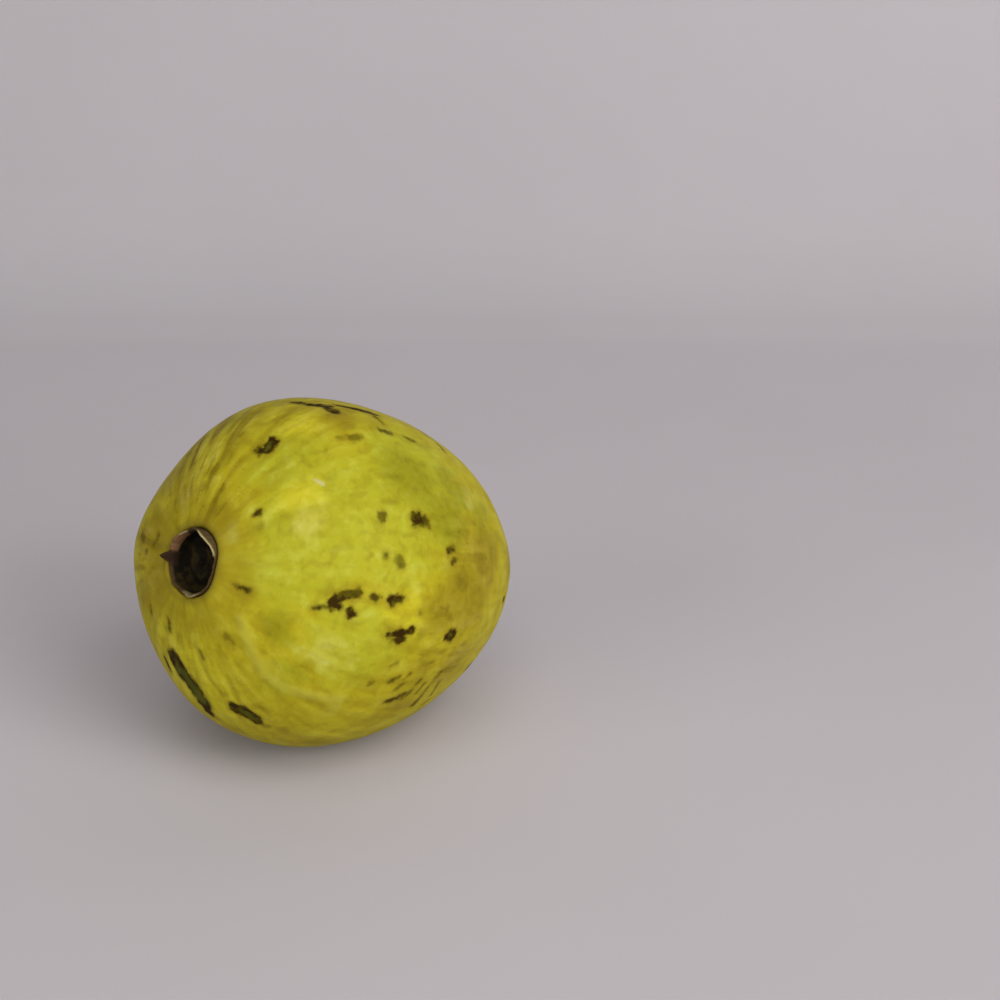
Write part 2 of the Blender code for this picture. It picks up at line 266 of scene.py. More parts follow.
GOLD_AND_SHADE_PATCHES = (
    (61.0, 342.0, 7.0, 0.8),
    (22.0, 80.0, 11.0, 1.0),
    (15.0, 112.0, 8.0, 1.0),
    (27.0, 122.0, 8.0, 0.8),
    (22.0, 35.0, 9.0, 0.6),
    (36.0, 55.0, 12.0, 0.7),
    (14.0, 338.0, 7.0, 1.0),
    # The next six, on the stalk-side shoulder from turn 76 to 97, are partly painted shade: they darken the
    # skin there as shade would
    (86.0, 276.0, 14.0, 1.0),
    (97.0, 288.0, 14.0, 1.0),
    (92.0, 250.0, 13.0, 0.8),
    (78.0, 234.0, 9.0, 0.8),
    (76.0, 271.0, 9.0, 0.9),
    (76.0, 252.0, 8.0, 0.6),
    (70.0, 205.0, 9.0, 0.7),
    (21.0, 255.0, 4.0, 0.7),
)
PALE_PATCHES = (
    (46.0, 246.0, 10.0, 0.6),
    (37.0, 303.0, 6.0, 0.9),
    (15.0, 205.0, 4.0, 0.7),
    (16.0, 310.0, 4.0, 0.8),
    (94.0, 309.0, 7.0, 0.8),
    (58.0, 226.0, 6.0, 0.6),
)
# Where the brushed streaks are strongest
BRUSHED_PATCHES = (
    (22.0, 20.0, 20.0, 1.0),
    (42.0, 30.0, 22.0, 0.9),
    (24.0, 100.0, 18.0, 0.7),
    (52.0, 0.0, 14.0, 0.5),
    (85.0, 255.0, 16.0, 0.7),
    (88.0, 290.0, 14.0, 0.5),
    (30.0, 175.0, 16.0, 0.5),
    (50.0, 205.0, 14.0, 0.4),
)
# A painted highlight: a short pale streak where light glints on the skin, from a place to a place, half
# width in mm
GLINT_STREAK = (42.7, 319.4, 44.1, 316.4, 0.2)
# Brushed streaks: how wide they are and how far they are drawn out, in mm, and in how many steps
STROKE_WIDTH = 2.2
STROKE_REACH = 12.0
STROKE_STEPS = 13
# The fine ones, drawn out in the shader: scale, reach in metres, and the shares of it where noise is read
FINE_STROKE_SCALE = 850.0
FINE_STROKE_REACH = 0.0032
FINE_SHARES = (-0.5, -0.25, 0.0, 0.25, 0.5)
# The middle of the side that the lists cover and how far they reach, and how many patches and marks are
# drawn for the other sides
LISTED_SIDE = (33.0, 275.0)
LISTED_REACH = 84.0
DRAWN_PATCHES = 14
MARK_SEED = 5
DRAWN_MARKS = 46
# Ranges of the drawn patches: cosine of the turn, spread in degrees, strength
PATCH_COSINES = (-0.98, 0.9)
PATCH_SPREADS = (5.0, 15.0)
PATCH_STRENGTHS = (0.4, 1.0)
# Those of the drawn marks, and of long and of short ones the run in degrees and the half width in mm
MARK_COSINES = (-0.9, 0.95)
MARK_DEPTHS = (0.35, 1.0)
MARK_LIE = 35.0
LONG_MARKS_SHARE = 0.4
LONG_MARK = ((2.0, 7.0), (0.3, 0.7))
SHORT_MARK = ((0.3, 1.5), (0.35, 1.25))

GOLDEN_YELLOW = (0.385, 0.322, 0.011)
LIME_YELLOW = (0.36, 0.343, 0.016)
BRIGHT_YELLOW = (0.47, 0.408, 0.016)
LEAF_OLIVE = (0.24, 0.222, 0.007)
GOLD = (0.26, 0.198, 0.008)
PALE_YELLOW = (0.44, 0.41, 0.055)
GROOVE_SHADE_OLIVE = (0.19, 0.145, 0.008)
DARKER = (0.56, 0.49, 0.55)
LIGHTER = (1.16, 1.19, 2.2)
# Colour of the painted glint
PAINTED_GLINT = (0.52, 0.46, 0.27)
MARK_BROWN = (0.030, 0.014, 0.001)
MARK_OLIVE = (0.056, 0.042, 0.001)
MARK_HALO = (0.215, 0.145, 0.006)
SCAR_GREEN = (0.064, 0.070, 0.006)
# Brown of the painted shade in the dimple's folds and at the lip
FOLD_SHADE_BROWN = (0.16, 0.12, 0.012)
SKIN_SHINE = 0.04
SKIN_ROUGHNESS = (0.46, 0.6)
MARK_ROUGHNESS = 0.15

# Tints in the order in which they lie: name, patches, seed of the drawn ones, colour, where it begins,
# strength
TINTS = (
    ("lime", LIME_PATCHES, 12, LIME_YELLOW, 0.65, 1.0),
    ("bright", BRIGHT_PATCHES, 8, BRIGHT_YELLOW, 0.7, 0.9),
    ("green", GREEN_PATCHES, 9, LEAF_OLIVE, 0.72, 0.85),
    # Gold, partly painted shade on the stalk-side shoulder
    ("gold", GOLD_AND_SHADE_PATCHES, 10, GOLD, 0.75, 0.85),
    ("pale", PALE_PATCHES, 11, PALE_YELLOW, 0.8, 0.7),
)
TINT_RISE = 0.6
BRUSHED_SEED = 13
# Shades over them: which noise, the values where it begins and is full, strength, multiplying colour
SHADES = (
    ("broad strokes", 0.0, -1.7, 0.9, DARKER),
    ("broad strokes", 0.2, 1.6, 1.0, LIGHTER),
    ("fine strokes", 0.48, 0.38, 0.7, DARKER),
    ("fine strokes", 0.53, 0.63, 0.8, LIGHTER),
    ("mottles", 0.47, 0.34, 0.32, DARKER),
    ("mottles", 0.54, 0.68, 0.55, LIGHTER),
    ("dabs", 0.45, 0.3, 0.22, DARKER),
    ("dabs", 0.55, 0.7, 0.4, LIGHTER),
)
# Strength of the strokes away from the brushed patches, and how strong a patch is where they are full
LEAST_BRUSHED = 0.22
FULLY_BRUSHED = 0.9
# Tints and painted light and shade: pale on the ridges and olive in the grooves, partly painted light and
# shade of the relief, gold round the mouth and a brown fringe at the lip that is painted shade: where they
# begin and are full, strength, colour
STAINS_AND_PAINTED_SHADE = (
    # Pale on the ridges and olive in the grooves: partly the skin's own colour, partly painted light and
    # shade of the relief
    ("ridge", 0.04, 0.2, 0.4, PALE_YELLOW),
    ("ridge", -0.03, -0.14, 0.35, GROOVE_SHADE_OLIVE),
    # Gold near the calyx end, then a brown fringe at the lip that is painted shade
    ("mouth", 0.6, 1.0, 0.5, GOLD),
    ("mouth", 1.0, 1.4, 0.6, FOLD_SHADE_BROWN),
)
# Painted shade in the dimple: browner the deeper its folds
FOLD_PAINTED_SHADE = (0.15, 1.1, 0.0, 0.8)
# Scales of the noises, in times a metre
CLOUD_SCALE = 95.0
MOTTLE_SCALE = 240.0
DAB_SCALE = 520.0
SPECK_SCALE = 150.0
PORE_SCALE = 850.0
GRAIN_SCALE = 1500.0
GLOSS_SCALE = 260.0
# How much the clouds, mottles and strokes break the borders of the tints
BORDER_BREAKS = (0.7, 0.35, 0.06)
# Specks: radius where they are full and where they end, strength, and which share of them shows
SPECK_EDGE = (0.045, 0.12, 0.45, 0.0)
SPECK_CHOICE = (0.55, 0.85)
# Ragged edges of the marks: scale and size of the coarse and the fine part, and softness in mm by depth
RAGGED_COARSE = (420.0, 2.2)
RAGGED_FINE = (900.0, 1.8)
MARK_SOFTNESS = (0.3, 1.0, 0.65, 0.44)
BLOTCH_SCALE = 520.0
BLOTCH_FADE = (0.3, 0.52, 0.9, 1.0)
BLOTCH_COLOURS = (0.36, 0.56)
HALO_EDGE = (-1.2, -0.1, 0.0, 0.4)
# Edge of the painted glint
GLINT_EDGE = (-0.4, 0.25, 0.0, 0.6)
# Heights of the strokes, mottles, pores and fine grain in metres
SKIN_RELIEF = (0.00003, 0.0001, 0.00002, 0.00003)


def smooth_step(low, high, value):
    """0 below low, 1 above high, and a smooth rise between them."""
    share = np.clip((value - low) / (high - low), 0.0, 1.0)
    return share * share * (3.0 - 2.0 * share)


def bell(offset, width):
    """1 at the middle, fading to nothing past twice the width."""
    return np.exp(-((offset / width) ** 2))


def girth(turn):
    """Radius of the plain body at an angle in radians from the calyx end."""
    fullness = 1.0 + CALYX_END_FULLNESS * math.cos(turn)
    fullness += SHOULDER_FULLNESS * math.cos(2.0 * turn)
    fullness += NOSE_FULLNESS * math.cos(3.0 * turn)
    return BODY_RADIUS * math.sin(turn) * fullness


def body_point(turn):
    """Radius and height of the body's outside at an angle in radians from the calyx end."""
    radius = girth(turn)
    height = HALF_LENGTH * math.cos(turn)
    if turn < math.pi / 2.0:
        height += NECK_HEIGHT * bell(radius - BORE_RADIUS, NECK_WIDTH)
    else:
        height += DIMPLE_DEPTH * bell(radius, DIMPLE_WIDTH)
    return radius, height


def halved(low, high, steps, is_low):
    """The number between low and high where is_low stops being true, by halving."""
    for _ in range(steps):
        middle = (low + high) / 2.0
        low, high = (middle, high) if is_low(middle) else (low, middle)
    return (low + high) / 2.0


def turn_at_girth(radius, near_stalk):
    """The angle in radians where the plain body has this radius, near either end."""
    end = math.pi if near_stalk else 0.0
    return halved(end, math.pi / 2.0, 40, lambda middle: girth(middle) < radius)


def turned_mesh(name, profile, segments):
    """A closed mesh turned about local Z from (radius, height) points that run down its outer side."""
    line = bpy.data.meshes.new(name)
    line.from_pydata([(r, 0.0, h) for r, h in profile], [(i, i + 1) for i in range(len(profile) - 1)], [])
    guide = bpy.data.objects.new(name, line)
    bpy.context.scene.collection.objects.link(guide)
    screw = guide.modifiers.new("turn", "SCREW")
    screw.axis = "Z"
    screw.angle = 2.0 * math.pi
    screw.steps = segments
    screw.render_steps = segments
    screw.use_merge_vertices = True
    screw.merge_threshold = 0.000001
    evaluated = guide.evaluated_get(bpy.context.evaluated_depsgraph_get())
    mesh = bpy.data.meshes.new_from_object(evaluated)
    bpy.data.objects.remove(guide)
    bpy.data.meshes.remove(line)
    welded = bmesh.new()
    welded.from_mesh(mesh)
    bmesh.ops.remove_doubles(welded, verts=welded.verts, dist=0.000001)
    welded.to_mesh(mesh)
    welded.free()
    mesh.name = name
    mesh.shade_smooth()
    return mesh


def points_of(mesh):
    """The mesh's points as an array, one row each."""
    flat = np.zeros(len(mesh.vertices) * 3)
    mesh.vertices.foreach_get("co", flat)
    return flat.reshape(-1, 3)


def move_points(mesh, points):
    """Puts the mesh's points at the rows of an array."""
    mesh.vertices.foreach_set("co", points.ravel())
    mesh.update()


def keep(mesh, name, values):
    """Stores a number or a vector for each point, for the material to read."""
    kind, field = ("FLOAT", "value") if values.ndim == 1 else ("FLOAT_VECTOR", "vector")
    kept = mesh.attributes.new(name, kind, "POINT")
    kept.data.foreach_set(field, values.astype(np.float32).ravel())


def placed(mesh, material):
    """The object of a mesh, with its material, in the scene."""
    mesh.materials.append(material)
    item = bpy.data.objects.new(mesh.name, mesh)
    bpy.context.scene.collection.objects.link(item)
    return item


def press_into(mesh, points, low, high):
    """Puts the mesh's points at the rows of an array, and those past a box onto its side."""
    move_points(mesh, np.clip(points, np.array(low), np.array(high)))


def angle_from(middle, around):
    """Angle round the axis from a middle, between -180 and 180 degrees."""
    return (around - middle + 180.0) % 360.0 - 180.0


def angles_of(points):
    """Turn and around of points near the skin, in degrees."""
    radius = np.hypot(points[:, 0], points[:, 1])
    turn = np.degrees(np.arctan2(radius / BODY_RADIUS, points[:, 2] / HALF_LENGTH))
    return turn, np.degrees(np.arctan2(points[:, 1], points[:, 0])) % 360.0


def directions(turn, around):
    """Unit vectors at angles from the calyx end and round the axis, in degrees."""
    t = np.radians(turn)
    a = np.radians(around)
    return np.stack([np.sin(t) * np.cos(a), np.sin(t) * np.sin(a), np.cos(t)], -1)


def grain_of(turn, around):
    """Coordinates whose noise runs in streaks from the calyx to the stalk, with no seam."""
    a = np.radians(around)
    return np.stack([np.cos(a), np.sin(a), np.radians(turn)], -1)


def noise_on(grain, relief):
    """Noise from -1 to 1 along the grain, scaled to the relief's height in metres."""
    height, round_axis, along = relief
    scaled = grain * np.array([round_axis, round_axis, along])
    values = np.array([noise.fractal(Vector(place), 0.9, 2.1, 3) for place in scaled])
    return np.clip(values, -1.5, 1.5) * height * MM


def strokes_on(points, along):
    """Noise averaged along the fruit so that it runs in strokes, in units of its own spread."""
    total = np.zeros(len(points))
    for share in np.linspace(-0.5, 0.5, STROKE_STEPS):
        places = (points / MM + along * STROKE_REACH * share) / STROKE_WIDTH
        total += np.array([noise.noise(Vector(place)) for place in places])
    return (total - total.mean()) / total.std()


def turn_of(radius, height):
    """Turn in degrees of a point of the body."""
    return math.degrees(math.atan2(radius / BODY_RADIUS, height / HALF_LENGTH))


def skin_place(turn, around):
    """The point of the plain body at a turn and around in degrees, in metres."""
    middle = halved(0.0, math.pi, 30, lambda middle: turn_of(*body_point(middle)) < turn)
    radius, height = body_point(middle)
    a = math.radians(around)
    return np.array([radius * math.cos(a), radius * math.sin(a), height])


def line_distance(points, turn, around, end_turn, end_around):
    """How far each point lies from a line between two places on the skin, in mm."""
    start = skin_place(turn, around)
    run = skin_place(end_turn, end_around) - start
    share = np.clip((points - start) @ run / max(run @ run, 1e-12), 0.0, 1.0)
    return np.linalg.norm(points - start - share[:, None] * run, axis=1) / MM


def stroke_edge(points, stroke):
    """How far inside the edge of a stroke each point lies, in mm."""
    return stroke[4] - line_distance(points, *stroke[:4])


def pressed_in(points):
    """The points with the mouth's one side pressed towards the axis."""
    middle, half_width, amount = MOUTH_DENT
    radius = np.hypot(points[:, 0], points[:, 1])
    around = np.degrees(np.arctan2(points[:, 1], points[:, 0]))
    dent = amount * bell(angle_from(middle, around), half_width)
    dent *= np.minimum(1.0, radius / BORE_RADIUS) * (1.0 - smooth_step(DENT_FULL_TO, DENT_ENDS, radius))
    dent[points[:, 2] < 0.0] = 0.0
    pressed = points.copy()
    pressed[:, :2] *= (1.0 - dent / np.maximum(radius, 1e-9))[:, None]
    return pressed


def ridge_at(points):
    """Height of the low ridges and grooves, in mm."""
    height = np.zeros(len(points))
    for places, half_width, amount in RIDGES:
        distance = np.min([line_distance(points, *a, *b) for a, b in zip(places, places[1:])], axis=0)
        height += amount * bell(distance, half_width)
    return height


def patches_at(turn, around, patches, joined=np.maximum):
    """Strength of a tint, or height of the swellings, over the skin, from its patches."""
    here = directions(turn, around)
    strength = np.zeros(len(turn))
    for patch_turn, patch_around, spread, amount in patches:
        cosine = np.clip(here @ directions(patch_turn, patch_around), -1.0, 1.0)
        strength = joined(strength, amount * bell(np.degrees(np.arccos(cosine)), spread))
    return strength


def drawn_patches(seed):
    """Patches for the sides that the lists leave out, drawn in the same sizes."""
    draw = random.Random(seed)
    listed = directions(*LISTED_SIDE)
    patches = []
    while len(patches) < DRAWN_PATCHES:
        turn = math.degrees(math.acos(draw.uniform(*PATCH_COSINES)))
        around = draw.uniform(0.0, 360.0)
        spread = draw.uniform(*PATCH_SPREADS)
        strength = draw.uniform(*PATCH_STRENGTHS)
        angle = math.degrees(math.acos(float(directions(turn, around) @ listed)))
        if angle > LISTED_REACH + spread:
            patches.append((turn, around, spread, strength))
    return tuple(patches)


def drawn_marks():
    """Marks for the sides that the list leaves out, drawn in the same sizes."""
    draw = random.Random(MARK_SEED)
    listed = directions(*LISTED_SIDE)
    marks = []
    while len(marks) < DRAWN_MARKS:
        turn = math.degrees(math.acos(draw.uniform(*MARK_COSINES)))
        around = draw.uniform(0.0, 360.0)
        angle = math.degrees(math.acos(float(directions(turn, around) @ listed)))
        runs, half_widths = LONG_MARK if draw.random() < LONG_MARKS_SHARE else SHORT_MARK
        run = draw.uniform(*runs)
        lie = draw.gauss(0.0, MARK_LIE)
        half_width = draw.uniform(*half_widths)
        depth = draw.uniform(*MARK_DEPTHS)
        if angle < LISTED_REACH:
            continue
        end_turn = turn + run * math.cos(math.radians(lie))
        end_around = around + run * math.sin(math.radians(lie)) / math.sin(math.radians(turn))
        marks.append((turn, around, end_turn, end_around, half_width, depth))
    return marks


def lip_height():
    """Height of the lip's top over the fruit's middle."""
    return body_point(turn_at_girth(BORE_RADIUS + LIP_RADIUS, False))[1]


def fruit_profile():
    """Floor and wall of the well, the lip, the outside, the dimple and the stalk's socket."""
    lip_centre = BORE_RADIUS + LIP_RADIUS
    top = lip_height()
    floor = top - BORE_DEPTH
    bore = BORE_RADIUS - GAP + CALYX_GAP
    points = [(bore * share, floor) for share in WELL_FLOOR_RINGS]
    points += [(bore - BORE_CORNER, floor), (bore, floor + BORE_CORNER)]
    points += [(bore, floor + BORE_DEPTH * share) for share in WELL_WALL_RINGS]
    for step in range(LIP_STEPS + 1):
        bend = math.pi * (1.0 - 0.5 * step / LIP_STEPS)
        reach = lip_centre + (lip_centre - bore) * math.cos(bend)
        points.append((reach, top + LIP_RADIUS * (math.sin(bend) - 1.0)))
    first = turn_at_girth(BORE_RADIUS + 1.6 * LIP_RADIUS, False)
    last = turn_at_girth(2.0 * DIMPLE_WIDTH, True)
    for ring in range(OUTSIDE_RINGS + 1):
        share = ring / OUTSIDE_RINGS
        points.append(body_point(first + (last - first) * share * (1.0 - RING_EASE * (1.0 - share))))
    socket = turn_at_girth(STUB_RADIUS + GAP + STUB_SOCKET_EDGE, True)
    for ring in range(1, DIMPLE_RINGS + 1):
        points.append(body_point(last + (socket - last) * ring / DIMPLE_RINGS))
    skin_height = points[-1][1]
    bottom = skin_height + STUB_SOCKET_DEPTH
    socket_radius = STUB_RADIUS + GAP
    points += [(socket_radius, skin_height + STUB_SOCKET_EDGE), (socket_radius, bottom), (0.0, bottom)]
    return points


def crease_at(turn, around, radius):
    """How deep the folds of the dimple are, in metres."""
    depth = np.zeros(len(turn))
    for crease_around, amount, half_width, reach in CREASES:
        along = 1.0 - smooth_step(CREASE_FULL_SHARE * reach, reach, 180.0 - turn)
        depth += amount * along * bell(angle_from(crease_around, around), half_width)
    return depth * smooth_step(CREASE_INNER_RADIUS, 2.0 * CREASE_INNER_RADIUS, radius)


lay_down = Matrix.Rotation(math.radians(AXIS_TILT - 90.0), 4, "Y")
lay_down = Matrix.Translation((0.0, 0.0, AXIS_HEIGHT)) @ lay_down

fruit_mesh = turned_mesh("guava_fruit", fruit_profile(), BODY_SEGMENTS)
plain = points_of(fruit_mesh)
turn, around = angles_of(plain)
radius = np.hypot(plain[:, 0], plain[:, 1])
grain = grain_of(turn, around)

mark_edge = np.full(len(plain), -np.inf)
mark_depth = np.zeros(len(plain))
mark_width = np.zeros(len(plain))
for mark in list(MARKS) + drawn_marks():
    edge = stroke_edge(plain, mark)
    nearer = edge > mark_edge
    mark_edge[nearer] = edge[nearer]
    mark_depth[nearer] = mark[5]
    mark_width[nearer] = min(MOST_RAGGED, RAGGED_SHARE * mark[4])
green_edge = np.max([stroke_edge(plain, scar) for scar in GREEN_SCARS], axis=0)

# The skin swells, save round the mouth, which stays as it is
rise = patches_at(turn, around, SWELLINGS, np.add) * smooth_step(MOUTH_KEEPS_TO, MOUTH_FREE_FROM, turn)
relief = noise_on(grain, LUMPS) + noise_on(grain, RIPPLES) + noise_on(grain, RIBS) - RELIEF_SINK * MM
wrinkled = 1.0 - smooth_step(WRINKLES_FULL_TO, WRINKLES_END, turn)
relief += noise_on(grain, MOUTH_WRINKLES) * wrinkled + ridge_at(plain) * MM
relief -= MARK_SINK * MM * mark_depth * smooth_step(*MARK_SINK_EDGE, mark_edge)
relief *= smooth_step(RELIEF_BEGINS, RELIEF_FULL, radius)
near_stalk = turn > 90.0
off_stalk = smooth_step(STUB_RADIUS + 2.0 * GAP, CREASE_INNER_RADIUS, radius)
rise[near_stalk] *= off_stalk[near_stalk]
relief[near_stalk] *= off_stalk[near_stalk]
rise[near_stalk] -= crease_at(turn, around, radius)[near_stalk]
shaped = plain + plain / np.linalg.norm(plain, axis=1)[:, None] * (rise + relief)[:, None]
move_points(fruit_mesh, pressed_in(shaped))
fruit_mesh.transform(lay_down)

# The laid fruit goes where the solid is, and the floor and the solid's box press what would pass them flat
low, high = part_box("fruit")
laid = points_of(fruit_mesh)
aside = np.array([(low.x + high.x) / 2.0, (low.y + high.y) / 2.0, 0.0])
aside[:2] -= (laid.min(0) + laid.max(0))[:2] / 2.0
press_into(fruit_mesh, laid + aside, low, high)
lay_down = Matrix.Translation(Vector(aside)) @ lay_down

down_the_fruit = np.stack([np.cos(np.radians(turn)) * np.cos(np.radians(around)) * BODY_RADIUS,
                           np.cos(np.radians(turn)) * np.sin(np.radians(around)) * BODY_RADIUS,
                           -np.sin(np.radians(turn)) * HALF_LENGTH], -1)
down_the_fruit /= np.linalg.norm(down_the_fruit, axis=1)[:, None]
keep(fruit_mesh, "strokes", strokes_on(plain, down_the_fruit))
keep(fruit_mesh, "along", down_the_fruit @ np.array(lay_down.to_3x3()).T)
# A brown fringe at the lip: painted shade where the skin meets the calyx, added to the tint near the calyx
# end
lip_shade_share = bell(radius - BORE_RADIUS, LIP_FRINGE) * (turn < 90.0)
mouth_share = 1.0 - smooth_step(MOUTH_TINT_FROM, MOUTH_TINT_TO, turn)
keep(fruit_mesh, "mouth", mouth_share + LIP_PAINTED_SHADE * lip_shade_share)
# Painted shade in the dimple, deepest in its folds and round the stalk
fold_shade_share = crease_at(turn, around, radius) / MM + bell(radius, DIMPLE_WIDTH)
keep(fruit_mesh, "fold", near_stalk * fold_shade_share)
keep(fruit_mesh, "ridge", ridge_at(plain))
for name, patches, seed, *_ in TINTS:
    keep(fruit_mesh, name, patches_at(turn, around, patches + drawn_patches(seed)))
brushed_patches = BRUSHED_PATCHES + drawn_patches(BRUSHED_SEED)
keep(fruit_mesh, "brushed", patches_at(turn, around, brushed_patches))
keep(fruit_mesh, "mark_edge", np.maximum(mark_edge, FAR_FROM_MARKS))
keep(fruit_mesh, "mark_depth", mark_depth)
keep(fruit_mesh, "mark_width", mark_width)
keep(fruit_mesh, "green_edge", np.maximum(green_edge, FAR_FROM_MARKS))
keep(fruit_mesh, "glint_edge", np.maximum(stroke_edge(plain, GLINT_STREAK), FAR_FROM_MARKS))


def new_surface(name, roughness, shine):
    """A material with its shader, of a set roughness and strength of reflection."""
    material = bpy.data.materials.new(name)
    material.use_nodes = True
    shader = material.node_tree.nodes["Principled BSDF"]
    shader.inputs["Roughness"].default_value = roughness
    shader.inputs["Specular IOR Level"].default_value = shine
    return material, material.node_tree, shader


def set_or_link(tree, socket, value):
    """Feeds a socket from another, or sets it to a number or a colour."""
    if isinstance(value, bpy.types.NodeSocket):
        tree.links.new(value, socket)
    elif isinstance(value, tuple):
        socket.default_value = (*value, 1.0)
    else:
        socket.default_value = value


def read_attribute(tree, name, output="Fac"):
    """What a mesh stores for each of its points."""
    node = tree.nodes.new("ShaderNodeAttribute")
    node.attribute_name = name
    return node.outputs[output]


def noise_at(tree, vector, scale, detail=2.0, distortion=0.0):
    """Noise from 0 to 1."""
    node = tree.nodes.new("ShaderNodeTexNoise")
    tree.links.new(vector, node.inputs["Vector"])
    node.inputs["Scale"].default_value = scale
    node.inputs["Detail"].default_value = detail
    node.inputs["Distortion"].default_value = distortion
    return node.outputs["Fac"]


def ramp(tree, value, low, high, to_low=0.0, to_high=1.0):
    """A smooth change from one number to another as the value passes from low to high."""
    node = tree.nodes.new("ShaderNodeMapRange")
    node.interpolation_type = "SMOOTHSTEP"
    for socket, number in zip(node.inputs[:5], (value, low, high, to_low, to_high)):
        set_or_link(tree, socket, number)
    return node.outputs[0]


def sums(tree, how, first, second):
    """One of Blender's sums on two numbers."""
    node = tree.nodes.new("ShaderNodeMath")
    node.operation = how
    set_or_link(tree, node.inputs[0], first)
    set_or_link(tree, node.inputs[1], second)
    return node.outputs[0]


def tinted(tree, share, below, above, how="MIX"):
    """One colour over another, by a share."""
    node = tree.nodes.new("ShaderNodeMix")
    node.data_type = "RGBA"
    node.blend_type = how
    set_or_link(tree, node.inputs["Factor"], share)
    set_or_link(tree, node.inputs[6], below)
    set_or_link(tree, node.inputs[7], above)
    return node.outputs[2]


def raised(tree, shader, layers):
    """Fine relief on the shader's normal: each layer is a height and how much it is worth in metres."""
    normal = None
    for height, distance in layers:
        node = tree.nodes.new("ShaderNodeBump")
        node.inputs["Strength"].default_value = 1.0
        node.inputs["Distance"].default_value = distance
        tree.links.new(height, node.inputs["Height"])
        if normal is not None:
            tree.links.new(normal, node.inputs["Normal"])
        normal = node.outputs["Normal"]
    tree.links.new(normal, shader.inputs["Normal"])


def brushed(tree, place, along, scale, reach):
    """Noise from 0 to 1 drawn out along the fruit into strokes of a reach in metres."""
    total = None
    for share in FINE_SHARES:
        node = tree.nodes.new("ShaderNodeVectorMath")
        node.operation = "MULTIPLY_ADD"
        tree.links.new(along, node.inputs[0])
        node.inputs[1].default_value = (reach * share,) * 3
        tree.links.new(place, node.inputs[2])
        here = noise_at(tree, node.outputs[0], scale, 1.0)
        total = here if total is None else sums(tree, "ADD", total, here)
    return sums(tree, "MULTIPLY", total, 1.0 / len(FINE_SHARES))


def patched(tree, colour, name, tint, above, most, broken):
    """A tint over its patches, with a border broken up by noise."""
    share = sums(tree, "ADD", read_attribute(tree, name), broken)
    return tinted(tree, ramp(tree, share, above, above + TINT_RISE, 0.0, most), colour, tint)


def ragged_part(tree, place, scale, size):
    """How far noise moves the edge of a mark, in mm for each mm of its width."""
    return sums(tree, "MULTIPLY", sums(tree, "SUBTRACT", noise_at(tree, place, scale), 0.5), size)


